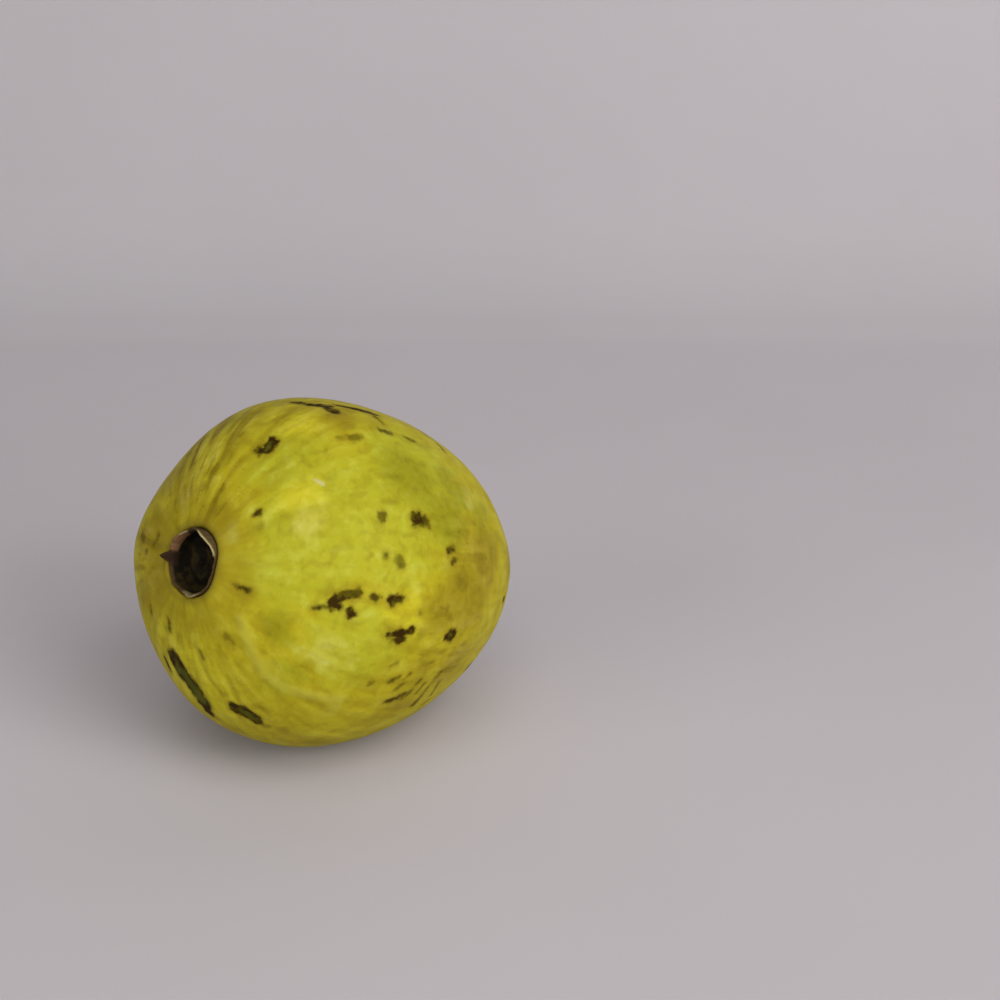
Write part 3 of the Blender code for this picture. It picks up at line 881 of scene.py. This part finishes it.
def skin_material():
    """Waxy yellow skin: broad tints, brushed streaks, soft mottles, pores, specks and brown marks, with
    painted shade at the lip, in the dimple and on the stalk-side shoulder, painted light and shade on the
    ridges and a painted glint.
    """
    material, tree, shader = new_surface("guava_skin", sum(SKIN_ROUGHNESS) / 2.0, SKIN_SHINE)
    place = tree.nodes.new("ShaderNodeTexCoord").outputs["Object"]
    along = read_attribute(tree, "along", "Vector")
    cloud = noise_at(tree, place, CLOUD_SCALE, 3.0, 0.3)
    noises = {
        "mottles": noise_at(tree, place, MOTTLE_SCALE, 2.0, 0.4),
        "dabs": noise_at(tree, place, DAB_SCALE, 1.0),
        "broad strokes": read_attribute(tree, "strokes"),
        "fine strokes": brushed(tree, place, along, FINE_STROKE_SCALE, FINE_STROKE_REACH),
    }

    broken = 0.0
    for noise_here, share in zip((cloud, noises["mottles"], noises["broad strokes"]), BORDER_BREAKS):
        broken = sums(tree, "ADD", broken, sums(tree, "MULTIPLY", noise_here, share))
    colour = GOLDEN_YELLOW
    for name, _, _, tint, above, most in TINTS:
        colour = patched(tree, colour, name, tint, above, most, broken)
    brush = ramp(tree, read_attribute(tree, "brushed"), 0.0, FULLY_BRUSHED, LEAST_BRUSHED, 1.0)
    for name, start, full, strength, tint in SHADES:
        share = ramp(tree, noises[name], start, full, 0.0, strength)
        if "strokes" in name:
            share = sums(tree, "MULTIPLY", share, brush)
        colour = tinted(tree, share, colour, tint, "MULTIPLY")
    # Tints round the mouth, and painted light and shade on the ridges, in the grooves and at the lip
    for name, start, full, strength, tint in STAINS_AND_PAINTED_SHADE:
        share = ramp(tree, read_attribute(tree, name), start, full, 0.0, strength)
        colour = tinted(tree, share, colour, tint)
    specks = tree.nodes.new("ShaderNodeTexVoronoi")
    tree.links.new(place, specks.inputs["Vector"])
    specks.inputs["Scale"].default_value = SPECK_SCALE
    chosen = tree.nodes.new("ShaderNodeSeparateColor")
    tree.links.new(specks.outputs["Color"], chosen.inputs[0])
    speck = ramp(tree, specks.outputs["Distance"], *SPECK_EDGE)
    speck = sums(tree, "MULTIPLY", speck, ramp(tree, chosen.outputs[0], *SPECK_CHOICE))
    colour = tinted(tree, speck, colour, MARK_HALO)
    # Painted shade in the dimple and its folds
    colour = tinted(tree, ramp(tree, read_attribute(tree, "fold"), *FOLD_PAINTED_SHADE), colour, FOLD_SHADE_BROWN)

    depth = read_attribute(tree, "mark_depth")
    coarse = ragged_part(tree, place, *RAGGED_COARSE)
    ragged = sums(tree, "ADD", coarse, ragged_part(tree, place, *RAGGED_FINE))
    ragged = sums(tree, "MULTIPLY", ragged, read_attribute(tree, "mark_width"))
    rough_edge = sums(tree, "ADD", read_attribute(tree, "mark_edge"), ragged)
    softness = ramp(tree, depth, *MARK_SOFTNESS)
    marked = ramp(tree, rough_edge, sums(tree, "MULTIPLY", softness, -1.0), softness)
    blotches = noise_at(tree, place, BLOTCH_SCALE)
    depth_here = sums(tree, "MULTIPLY", ramp(tree, depth, 0.0, 0.95), ramp(tree, blotches, *BLOTCH_FADE))
    marked = sums(tree, "MULTIPLY", marked, depth_here)
    mark_colour = tinted(tree, ramp(tree, blotches, *BLOTCH_COLOURS), MARK_OLIVE, MARK_BROWN)
    green = ramp(tree, sums(tree, "ADD", read_attribute(tree, "green_edge"), ragged), -0.4, 0.4)
    mark_colour = tinted(tree, green, mark_colour, SCAR_GREEN)
    halo = sums(tree, "MULTIPLY", ramp(tree, rough_edge, *HALO_EDGE), depth)
    colour = tinted(tree, halo, colour, MARK_HALO)
    colour = tinted(tree, marked, colour, mark_colour)
    # A painted highlight: the short pale glint streak over the skin
    glint = sums(tree, "ADD", read_attribute(tree, "glint_edge"), sums(tree, "MULTIPLY", coarse, 0.5))
    colour = tinted(tree, ramp(tree, glint, *GLINT_EDGE), colour, PAINTED_GLINT)
    tree.links.new(colour, shader.inputs["Base Color"])

    gloss = noise_at(tree, place, GLOSS_SCALE, 3.0)
    roughness = ramp(tree, gloss, 0.3, 0.7, *SKIN_ROUGHNESS)
    roughness = sums(tree, "ADD", roughness, sums(tree, "MULTIPLY", marked, MARK_ROUGHNESS))
    tree.links.new(roughness, shader.inputs["Roughness"])

    pores = tree.nodes.new("ShaderNodeTexVoronoi")
    tree.links.new(place, pores.inputs["Vector"])
    pores.inputs["Scale"].default_value = PORE_SCALE
    pore = ramp(tree, pores.outputs["Distance"], 0.08, 0.3)
    fine_grain = noise_at(tree, place, GRAIN_SCALE)
    heights = (noises["broad strokes"], noises["mottles"], pore, fine_grain)
    raised(tree, shader, zip(heights, SKIN_RELIEF))
    return material


fruit = placed(fruit_mesh, skin_material())
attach(fruit, "root")
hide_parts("fruit")

# The calyx
# The dried remains of the flower: a thin papery cup with torn sepals round its rim and a low disc in its
# floor, where the stamens and the style stood. It grew on the fruit and sits in the well at its raised end.

CALYX_WALL = 0.0007
CALYX_RIM_WALL = 0.00028
CALYX_SEGMENTS = 240
CALYX_FLOOR = 0.0009
CALYX_CORNER = 0.0004
CALYX_FOOT_CHAMFER = 0.0005
CALYX_INNER_RINGS = (0.35, 0.7)
CALYX_OUTER_RINGS = (0.7, 0.4)
DISC_RADIUS = 0.0036
DISC_EDGE = 0.0009
DISC_HEIGHT = 0.0008
DISC_RING_RADIUS = 0.0026
DISC_RING_HEIGHT = 0.0003
DISC_RING_WIDTH = 0.0005
DISC_RINGS = 30
STYLE_RADIUS = 0.0006
STYLE_HEIGHT = 0.0006
SEPAL_BASE = -0.0006
SEPAL_LEAST_HEIGHT = 0.0007
SEPAL_STEPS = 22
SEPAL_POINT = 0.75
SEPAL_CURL = 1.7
LEAST_SEPAL_SHARE = 0.6
TORN_EDGE = 0.00014
TORN_TIMES = 9.0
TORN_MIDDLE = 0.35
WAVY_LEAN = 0.00018
FIBRE_HEIGHT = 0.00007
FIBRE_TIMES = 16.0
FIBRE_SHORTNESS = 400.0
FIBRE_FINENESS = 14.0
FIBRE_FINENESS_UP = 240.0
CALYX_BLOTCH_SCALE = 420.0
DISC_FIBRE_HEIGHT = 0.00008
# Angle round the axis, half width, height over the base, lean outwards
SEPALS = (
    (93.0, 11.0, 0.0024, 0.0013),
    (60.0, 46.0, 0.0015, 0.0002),
    (357.0, 12.0, 0.0033, 0.0005),
    (336.0, 54.0, 0.003, 0.0002),
    (194.0, 36.0, 0.0013, 0.0003),
    (142.0, 26.0, 0.001, 0.0),
)
# Where round the rim its edge is pale and its inside pinkish, tan or maroon: angle, half width, strength
PALE_EDGES = (
    (322.0, 26.0, 1.0),
    (38.0, 9.0, 0.5),
    (190.0, 14.0, 0.4),
)
PINK_INSIDES = ((58.0, 24.0, 1.0),)
TAN_INSIDES = ((190.0, 22.0, 1.0),)
MAROON_INSIDES = ((95.0, 14.0, 0.8), (357.0, 8.0, 0.9))
# Near black in the cup, with darker olive blotches: the dried disc's dark brown deepened into painted shade
# of the hollow
CUP_PAINTED_SHADE = (0.007, 0.005, 0.002)
CUP_OLIVE = (0.028, 0.018, 0.004)
CALYX_BROWN = (0.055, 0.033, 0.010)
CALYX_TAN = (0.19, 0.145, 0.055)
CALYX_EDGE = (0.34, 0.27, 0.13)
CALYX_MAROON = (0.024, 0.011, 0.006)
CALYX_PINK = (0.18, 0.092, 0.040)
CALYX_SHINE = 0.1
CALYX_ROUGHNESS = (0.75, 0.95)
# How far under the rim each colour begins and is full, in mm, and its strengths there
# The cup turns near black from here down: painted shade of the hollow
CUP_SHADE_DEPTH = (0.1, 1.1)
PINK_DEPTH = (1.8, 1.2)
MAROON_DEPTH = (2.4, 1.6)
TAN_DEPTH = (1.3, 0.7, 0.0, 0.6)
OUTSIDE_TAN_DEPTH = (0.9, 0.2, 0.2, 0.7)
EDGE_DEPTH = (0.55, 0.3)
# How much the fibres move those borders, in mm, and the fibres' own colour
FIBRE_BREAK = 0.3
FIBRE_SHADE = (0.55, 0.35, 0.0, 0.35)
# Heights of the fibres and the blotches in metres
CALYX_RELIEF = (0.00008, 0.0001)


def disc_height(distance):
    """Relief of the dried disc: a low table, the ring where the stamens stood and the scar of the style."""
    table = DISC_HEIGHT * (1.0 - smooth_step(DISC_RADIUS - DISC_EDGE, DISC_RADIUS + DISC_EDGE, distance))
    ring = DISC_RING_HEIGHT * bell(distance - DISC_RING_RADIUS, DISC_RING_WIDTH)
    return table + ring + STYLE_HEIGHT * bell(distance, STYLE_RADIUS)


def calyx_profile():
    """The disc from its middle, up the inside of the wall, over the rim and down the outside."""
    outer = BORE_RADIUS - GAP
    inner = outer - CALYX_WALL
    thinning = (CALYX_WALL - CALYX_RIM_WALL) / 2.0
    bottom = lip_height() - BORE_DEPTH + GAP
    floor = bottom + CALYX_FLOOR
    base = lip_height() + SEPAL_BASE
    rim_step = 1.0 / SEPAL_STEPS
    points = []
    for ring in range(DISC_RINGS + 1):
        distance = (inner - CALYX_CORNER) * ring / DISC_RINGS
        points.append((distance, floor + disc_height(distance)))
    points += [(inner - 0.3 * CALYX_CORNER, floor + 0.3 * CALYX_CORNER), (inner, floor + CALYX_CORNER)]
    wall = base - floor - CALYX_CORNER
    points += [(inner, floor + CALYX_CORNER + wall * share) for share in CALYX_INNER_RINGS]
    for step in range(SEPAL_STEPS):
        share = step * rim_step
        points.append((inner + thinning * share, base + SEPAL_LEAST_HEIGHT * share))
    points.append(((inner + outer) / 2.0, base + SEPAL_LEAST_HEIGHT))
    for step in reversed(range(SEPAL_STEPS)):
        share = step * rim_step
        points.append((outer - thinning * share, base + SEPAL_LEAST_HEIGHT * share))
    points += [(outer, bottom + (base - bottom) * share) for share in CALYX_OUTER_RINGS]
    points += [(outer, bottom + CALYX_FOOT_CHAMFER), (outer - CALYX_FOOT_CHAMFER, bottom), (0.0, bottom)]
    return points


def sepal_at(around):
    """Height of the rim over its base and its lean outwards, at an angle round the axis."""
    height = SEPAL_LEAST_HEIGHT
    lean = 0.0
    weight = 0.0
    for middle, half_width, sepal_height, sepal_lean in SEPALS:
        share = 1.0 - abs(angle_from(middle, around)) / half_width
        if share > 0.0:
            height = max(height, sepal_height * share**SEPAL_POINT)
            lean += sepal_lean * share
            weight += share
    return height, lean / max(1.0, weight)


calyx_mesh = turned_mesh("guava_calyx", calyx_profile(), CALYX_SEGMENTS)
calyx_points = points_of(calyx_mesh)
sepal_base = lip_height() + SEPAL_BASE
under_rim = np.full(len(calyx_points), 10.0)
facing_in = np.zeros(len(calyx_points))
for index, point in enumerate(calyx_points):
    distance = math.hypot(point[0], point[1])
    if distance < 1e-6:
        continue
    bearing = math.atan2(point[1], point[0])
    round_axis = (FIBRE_TIMES * math.cos(bearing), FIBRE_TIMES * math.sin(bearing))
    fibre = noise.fractal(Vector((*round_axis, FIBRE_SHORTNESS * point[2])), 0.8, 2.0, 2)
    share = (point[2] - sepal_base) / SEPAL_LEAST_HEIGHT
    if distance > DISC_RADIUS + DISC_EDGE:
        inside = distance < BORE_RADIUS - GAP - CALYX_WALL * 0.5
        push = FIBRE_HEIGHT * (fibre if inside else min(0.0, fibre))
        point[:2] *= (distance + push) / distance
        facing_in[index] = 1.0 if inside else 0.0
        under_rim[index] = (sepal_base - point[2]) / MM + SEPAL_LEAST_HEIGHT / MM
    else:
        facing_in[index] = 1.0
        point[2] += DISC_FIBRE_HEIGHT * fibre
    if share <= 0.0 or distance < BORE_RADIUS / 2.0:
        continue
    height, lean = sepal_at(math.degrees(bearing) % 360.0)
    round_rim = (TORN_TIMES * math.cos(bearing), TORN_TIMES * math.sin(bearing), 0.0)
    torn = noise.fractal(Vector(round_rim), 0.7, 2.2, 4)
    height = max(LEAST_SEPAL_SHARE * SEPAL_LEAST_HEIGHT, height + TORN_EDGE * (torn - TORN_MIDDLE))
    lean += WAVY_LEAN * noise.noise(Vector((3.0 * math.cos(bearing), 3.0 * math.sin(bearing), 4.0)))
    point[:2] *= (distance + lean * share**SEPAL_CURL) / distance
    point[2] = sepal_base + share * height
    under_rim[index] = (1.0 - share) * height / MM
move_points(calyx_mesh, calyx_points)
calyx_around = np.degrees(np.arctan2(calyx_points[:, 1], calyx_points[:, 0]))


def rim_share(spans):
    """Strength of a colour round the rim, from its spans."""
    strength = np.zeros(len(calyx_around))
    for middle, half_width, amount in spans:
        offset = np.abs(angle_from(middle, calyx_around))
        share = 1.0 - smooth_step(0.75 * half_width, 1.25 * half_width, offset)
        strength = np.maximum(strength, amount * share)
    return strength


calyx_angle = np.radians(calyx_around)
fibre_run = [np.cos(calyx_angle) * FIBRE_FINENESS, np.sin(calyx_angle) * FIBRE_FINENESS]
keep(calyx_mesh, "fibre", np.stack([*fibre_run, calyx_points[:, 2] * FIBRE_FINENESS_UP], -1))
keep(calyx_mesh, "under_rim", under_rim)
keep(calyx_mesh, "facing_in", facing_in)
keep(calyx_mesh, "pale_edge", rim_share(PALE_EDGES))
keep(calyx_mesh, "pink_inside", rim_share(PINK_INSIDES))
keep(calyx_mesh, "tan_inside", rim_share(TAN_INSIDES))
keep(calyx_mesh, "maroon_inside", rim_share(MAROON_INSIDES))
move_points(calyx_mesh, pressed_in(calyx_points))
calyx_mesh.transform(lay_down)
press_into(calyx_mesh, points_of(calyx_mesh), *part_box("calyx"))


def rim_tint(tree, name, under_rim, depth):
    """Share of a colour round the rim, down to a depth."""
    return sums(tree, "MULTIPLY", read_attribute(tree, name), ramp(tree, under_rim, *depth))


def calyx_material():
    """Dry papery brown: near black in the cup, painted shade over the dark dried disc, fibrous brown on the
    wall, paler where the edge is torn.
    """
    material, tree, shader = new_surface("guava_calyx", sum(CALYX_ROUGHNESS) / 2.0, CALYX_SHINE)
    place = tree.nodes.new("ShaderNodeTexCoord").outputs["Object"]
    fibres = noise_at(tree, read_attribute(tree, "fibre", "Vector"), 1.0, 3.0, 0.3)
    blotches = noise_at(tree, place, CALYX_BLOTCH_SCALE, 3.0, 0.5)
    broken = sums(tree, "MULTIPLY", fibres, FIBRE_BREAK)
    under_rim = sums(tree, "ADD", read_attribute(tree, "under_rim"), broken)
    # Painted shade in the cup: near black below the rim, over the dark brown of the dried disc and wall
    cup = tinted(tree, ramp(tree, blotches, 0.45, 0.7), CUP_PAINTED_SHADE, CUP_OLIVE)
    inside = tinted(tree, ramp(tree, under_rim, *CUP_SHADE_DEPTH), CALYX_BROWN, cup)
    pink = rim_tint(tree, "pink_inside", under_rim, PINK_DEPTH)
    pink = sums(tree, "MULTIPLY", pink, ramp(tree, fibres, 0.3, 0.6, 0.7, 1.0))
    inside = tinted(tree, pink, inside, CALYX_PINK)
    inside = tinted(tree, rim_tint(tree, "maroon_inside", under_rim, MAROON_DEPTH), inside, CALYX_MAROON)
    inside = tinted(tree, rim_tint(tree, "tan_inside", under_rim, TAN_DEPTH), inside, CALYX_TAN)
    tan = rim_tint(tree, "pale_edge", under_rim, OUTSIDE_TAN_DEPTH)
    outside = tinted(tree, tan, CALYX_BROWN, CALYX_TAN)
    outside = tinted(tree, ramp(tree, fibres, *FIBRE_SHADE), outside, CALYX_BROWN)
    colour = tinted(tree, read_attribute(tree, "facing_in"), outside, inside)
    colour = tinted(tree, rim_tint(tree, "pale_edge", under_rim, EDGE_DEPTH), colour, CALYX_EDGE)
    tree.links.new(colour, shader.inputs["Base Color"])
    tree.links.new(ramp(tree, blotches, 0.3, 0.7, *CALYX_ROUGHNESS), shader.inputs["Roughness"])
    raised(tree, shader, zip((fibres, blotches), CALYX_RELIEF))
    return material


calyx = placed(calyx_mesh, calyx_material())
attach(calyx, "root")
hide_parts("calyx")

# The end of the stalk
# The short dry stump that stays on the fruit when it is picked: grey-brown bark round a pale broken pith.
# It grows out of the middle of the dimple at the lower end.

STUB_LENGTH = 0.0046
STUB_SEGMENTS = 96
STUB_STEPS = 24
BARK_HEIGHT = 0.00012
BARK_TIMES = 5.0
BARK_SHORTNESS = 500.0
BROKEN_DEPTH = 0.0004
BROKEN_HEIGHT = 0.00016
STUB_WAIST = 0.08
# The broken tip from its edge to its middle: share of the radius, height over the tip
STUB_TIP = ((0.93, 0.0002), (0.85, 0.0001), (0.65, 0.0002), (0.45, 0.0003), (0.22, 0.0005), (0.0, 0.0006))
BARK_BROWN = (0.13, 0.085, 0.04)
BARK_GREY = (0.22, 0.17, 0.10)
PITH = (0.34, 0.26, 0.13)
BARK_ROUGHNESS = (0.75, 0.95)
BARK_SHINE = 0.2
BARK_RELIEF = 0.0002
# How fine its fibres are across and along the stub, in times a metre
BARK_FINENESS = np.array([2600.0, 2600.0, 520.0])


def stub_profile():
    """The stump from the middle of its buried end to its broken tip."""
    skin_height = body_point(turn_at_girth(STUB_RADIUS + GAP + STUB_SOCKET_EDGE, True))[1]
    top = skin_height + STUB_SOCKET_DEPTH - GAP
    tip = top - STUB_LENGTH
    points = [(0.0, top), (STUB_RADIUS * 0.6, top), (STUB_RADIUS, top - 0.0002)]
    for step in range(1, STUB_STEPS + 1):
        share = step / STUB_STEPS
        waist = 1.0 - STUB_WAIST * math.sin(math.pi * min(1.0, share * 1.15))
        points.append((STUB_RADIUS * waist, top + (tip + 0.0005 - top) * share))
    return points + [(STUB_RADIUS * share, tip + over) for share, over in STUB_TIP]


stub_mesh = turned_mesh("guava_stem_stub", stub_profile(), STUB_SEGMENTS)
stub_points = points_of(stub_mesh)
stub_tip = stub_points[:, 2].min()
for point in stub_points:
    distance = math.hypot(point[0], point[1])
    if distance < 1e-6:
        continue
    bearing = math.atan2(point[1], point[0])
    round_axis = (BARK_TIMES * math.cos(bearing), BARK_TIMES * math.sin(bearing), BARK_SHORTNESS * point[2])
    bark = noise.fractal(Vector(round_axis), 0.8, 2.0, 3)
    point[:2] *= (distance + BARK_HEIGHT * min(0.0, bark - 0.2) * distance / STUB_RADIUS) / distance
    if point[2] < stub_tip + BROKEN_DEPTH:
        point[2] += BROKEN_HEIGHT * abs(bark)
move_points(stub_mesh, stub_points)
over_tip = stub_points[:, 2] - stub_tip
keep(stub_mesh, "broken", 1.0 - smooth_step(BROKEN_DEPTH, 2.0 * BROKEN_DEPTH, over_tip))
keep(stub_mesh, "fibre", stub_points * BARK_FINENESS)
stub_mesh.transform(lay_down)
press_into(stub_mesh, points_of(stub_mesh), *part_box("stem_stub"))


def bark_material():
    """Dry fibrous bark with a paler broken end."""
    material, tree, shader = new_surface("guava_bark", sum(BARK_ROUGHNESS) / 2.0, BARK_SHINE)
    lines = noise_at(tree, read_attribute(tree, "fibre", "Vector"), 1.0, 4.0, 0.3)
    colour = tinted(tree, ramp(tree, lines, 0.35, 0.65), BARK_BROWN, BARK_GREY)
    colour = tinted(tree, ramp(tree, read_attribute(tree, "broken"), 0.2, 0.9, 0.0, 0.75), colour, PITH)
    tree.links.new(colour, shader.inputs["Base Color"])
    tree.links.new(ramp(tree, lines, 0.3, 0.7, *BARK_ROUGHNESS), shader.inputs["Roughness"])
    raised(tree, shader, [(lines, BARK_RELIEF)])
    return material


stub = placed(stub_mesh, bark_material())
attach(stub, "root")
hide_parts("stem_stub")

# The camera
# A 50 mm lens about 28 cm from the fruit, on its calyx end's side, looking down on it.

CAMERA_BEARING = -54.42
CAMERA_PITCH = 20.0
CAMERA_PLACE = (-0.19085, -0.1771, 0.1422)
CAMERA_LENS = 50.0

bearing = math.radians(CAMERA_BEARING)
to_right = Vector((math.cos(bearing), math.sin(bearing), 0.0))
towards = Vector((math.sin(bearing), -math.cos(bearing), 0.0))
lens = bpy.data.cameras.new("camera")
lens.lens = CAMERA_LENS
lens.sensor_width = 36.0
lens.clip_start = 0.01
lens.clip_end = 20.0
camera = bpy.data.objects.new("camera", lens)
bpy.context.scene.collection.objects.link(camera)
camera.location = CAMERA_PLACE
camera.rotation_euler = (math.radians(90.0 - CAMERA_PITCH), 0.0, bearing)
bpy.context.scene.camera = camera

# The floor and the backdrop
# One matt sheet: flat under the fruit, swept up behind it into a wall, with light and shade painted on it
# behind the fruit.

FLOOR_BEHIND = 0.327
SWEEP_RADIUS = 0.054
SWEEP_STEPS = 24
FLOOR_AHEAD = 4.0
SHEET_HALF_WIDTH = 4.0
WALL_HEIGHT = 2.5
SHEET = (0.50, 0.468, 0.486)
SHEET_UNEVEN = 0.01
SHEET_CLOUD_SCALE = 9.0
SHEET_ROUGHNESS = 0.9
SHEET_SHINE = 0.1
# Painted light and shade on the sheet: lighter on the floor behind the fruit, by metres away, and darker
# round its bend, by degrees
FLOOR_PAINTED_LIGHT = ((0.08, 1.0), (0.15, 1.01), (0.22, 1.03), (0.273, 1.05), (0.327, 1.07))
BEND_PAINTED_SHADE = (
    (0.0, 1.07),
    (14.0, 0.96),
    (27.0, 0.87),
    (46.0, 0.845),
    (62.0, 0.853),
    (76.0, 0.89),
    (90.0, 0.93),
)

outline = [(-FLOOR_AHEAD, 0.0), (-0.3, 0.0), (0.0, 0.0)]
outline += [(away, 0.0) for away, tone in FLOOR_PAINTED_LIGHT]
painted_shadings = [1.0, 1.0, 1.0]
painted_shadings += [tone for away, tone in FLOOR_PAINTED_LIGHT]
for step in range(1, SWEEP_STEPS + 1):
    bend = math.pi / 2.0 * step / SWEEP_STEPS
    outline.append((FLOOR_BEHIND + SWEEP_RADIUS * math.sin(bend), SWEEP_RADIUS * (1.0 - math.cos(bend))))
    painted_shadings.append(np.interp(math.degrees(bend), *zip(*BEND_PAINTED_SHADE)))
outline.append((FLOOR_BEHIND + SWEEP_RADIUS, WALL_HEIGHT))
painted_shadings.append(painted_shadings[-1])
sheet_points = []
sheet_faces = []
for side in (-1.0, 1.0):
    for away, height in outline:
        across = to_right * side * SHEET_HALF_WIDTH - towards * away
        sheet_points.append((across.x, across.y, height))
for step in range(len(outline) - 1):
    sheet_faces.append((step, step + len(outline), step + len(outline) + 1, step + 1))
sheet_mesh = bpy.data.meshes.new("floor")
sheet_mesh.from_pydata(sheet_points, [], sheet_faces)
sheet_mesh.shade_smooth()
# Each point's painted light and shade
keep(sheet_mesh, "tone", np.array(painted_shadings + painted_shadings))


def sheet_material():
    """Plain matt pale grey, in a slightly uneven tone, times the painted light and shade kept on the sheet.
    """
    material, tree, shader = new_surface("floor", SHEET_ROUGHNESS, SHEET_SHINE)
    place = tree.nodes.new("ShaderNodeTexCoord").outputs["Object"]
    uneven = noise_at(tree, place, SHEET_CLOUD_SCALE)
    lighter = tuple((1.0 + SHEET_UNEVEN) * part for part in SHEET)
    darker = tuple((1.0 - SHEET_UNEVEN) * part for part in SHEET)
    colour = tinted(tree, ramp(tree, uneven, 0.3, 0.7), darker, lighter)
    # Scales the colour by the painted light and shade
    tone = tree.nodes.new("ShaderNodeVectorMath")
    tone.operation = "SCALE"
    tree.links.new(colour, tone.inputs[0])
    tree.links.new(read_attribute(tree, "tone"), tone.inputs["Scale"])
    tree.links.new(tone.outputs[0], shader.inputs["Base Color"])
    return material


floor = placed(sheet_mesh, sheet_material())

# The light
# Six large round lamps: three to the right, one to the left and two high, and a weak light from all round.

# Degrees to the right of the camera, degrees up, metres away, strength
LAMPS = (
    (45.0, 18.0, 1.0, 0.40),
    (45.0, 18.0, 2.0, 0.20),
    (45.0, 42.0, 2.0, 0.38),
    (-45.0, 18.0, 1.0, 0.29),
    (0.0, 42.0, 1.0, 0.13),
    (0.0, 66.0, 2.0, 0.13),
)
LAMP_SPREAD = 35.0
LAMPS_AIM = 0.033
HORIZON_LIGHT = 0.22
OVERHEAD_LIGHT = 0.07
SKY_CHANGES = (0.05, 0.4)

for number, (aside_angle, up_angle, away, strength) in enumerate(LAMPS):
    shade = bpy.data.lights.new(f"lamp_{number}", "AREA")
    shade.shape = "DISK"
    shade.size = 2.0 * away * math.tan(math.radians(LAMP_SPREAD / 2.0))
    shade.energy = strength * (math.pi * away) ** 2
    lamp = bpy.data.objects.new(f"lamp_{number}", shade)
    bpy.context.scene.collection.objects.link(lamp)
    level = math.cos(math.radians(up_angle))
    side = math.radians(aside_angle)
    source = (towards * math.cos(side) + to_right * math.sin(side)) * level
    source.z = math.sin(math.radians(up_angle))
    lamp.location = Vector((0.0, 0.0, LAMPS_AIM)) + source * away
    lamp.rotation_euler = source.to_track_quat("Z", "Y").to_euler()
    lamp.visible_camera = False

world = bpy.data.worlds.new("room")
bpy.context.scene.world = world
world.use_nodes = True
backing = world.node_tree.nodes["Background"]
sky = world.node_tree.nodes.new("ShaderNodeSeparateXYZ")
looking = world.node_tree.nodes.new("ShaderNodeTexCoord").outputs["Generated"]
world.node_tree.links.new(looking, sky.inputs[0])
strength = ramp(world.node_tree, sky.outputs["Z"], *SKY_CHANGES, HORIZON_LIGHT, OVERHEAD_LIGHT)
world.node_tree.links.new(strength, backing.inputs["Strength"])
backing.inputs["Color"].default_value = (1.0, 1.0, 1.0, 1.0)
bpy.context.scene.view_settings.view_transform = "Standard"
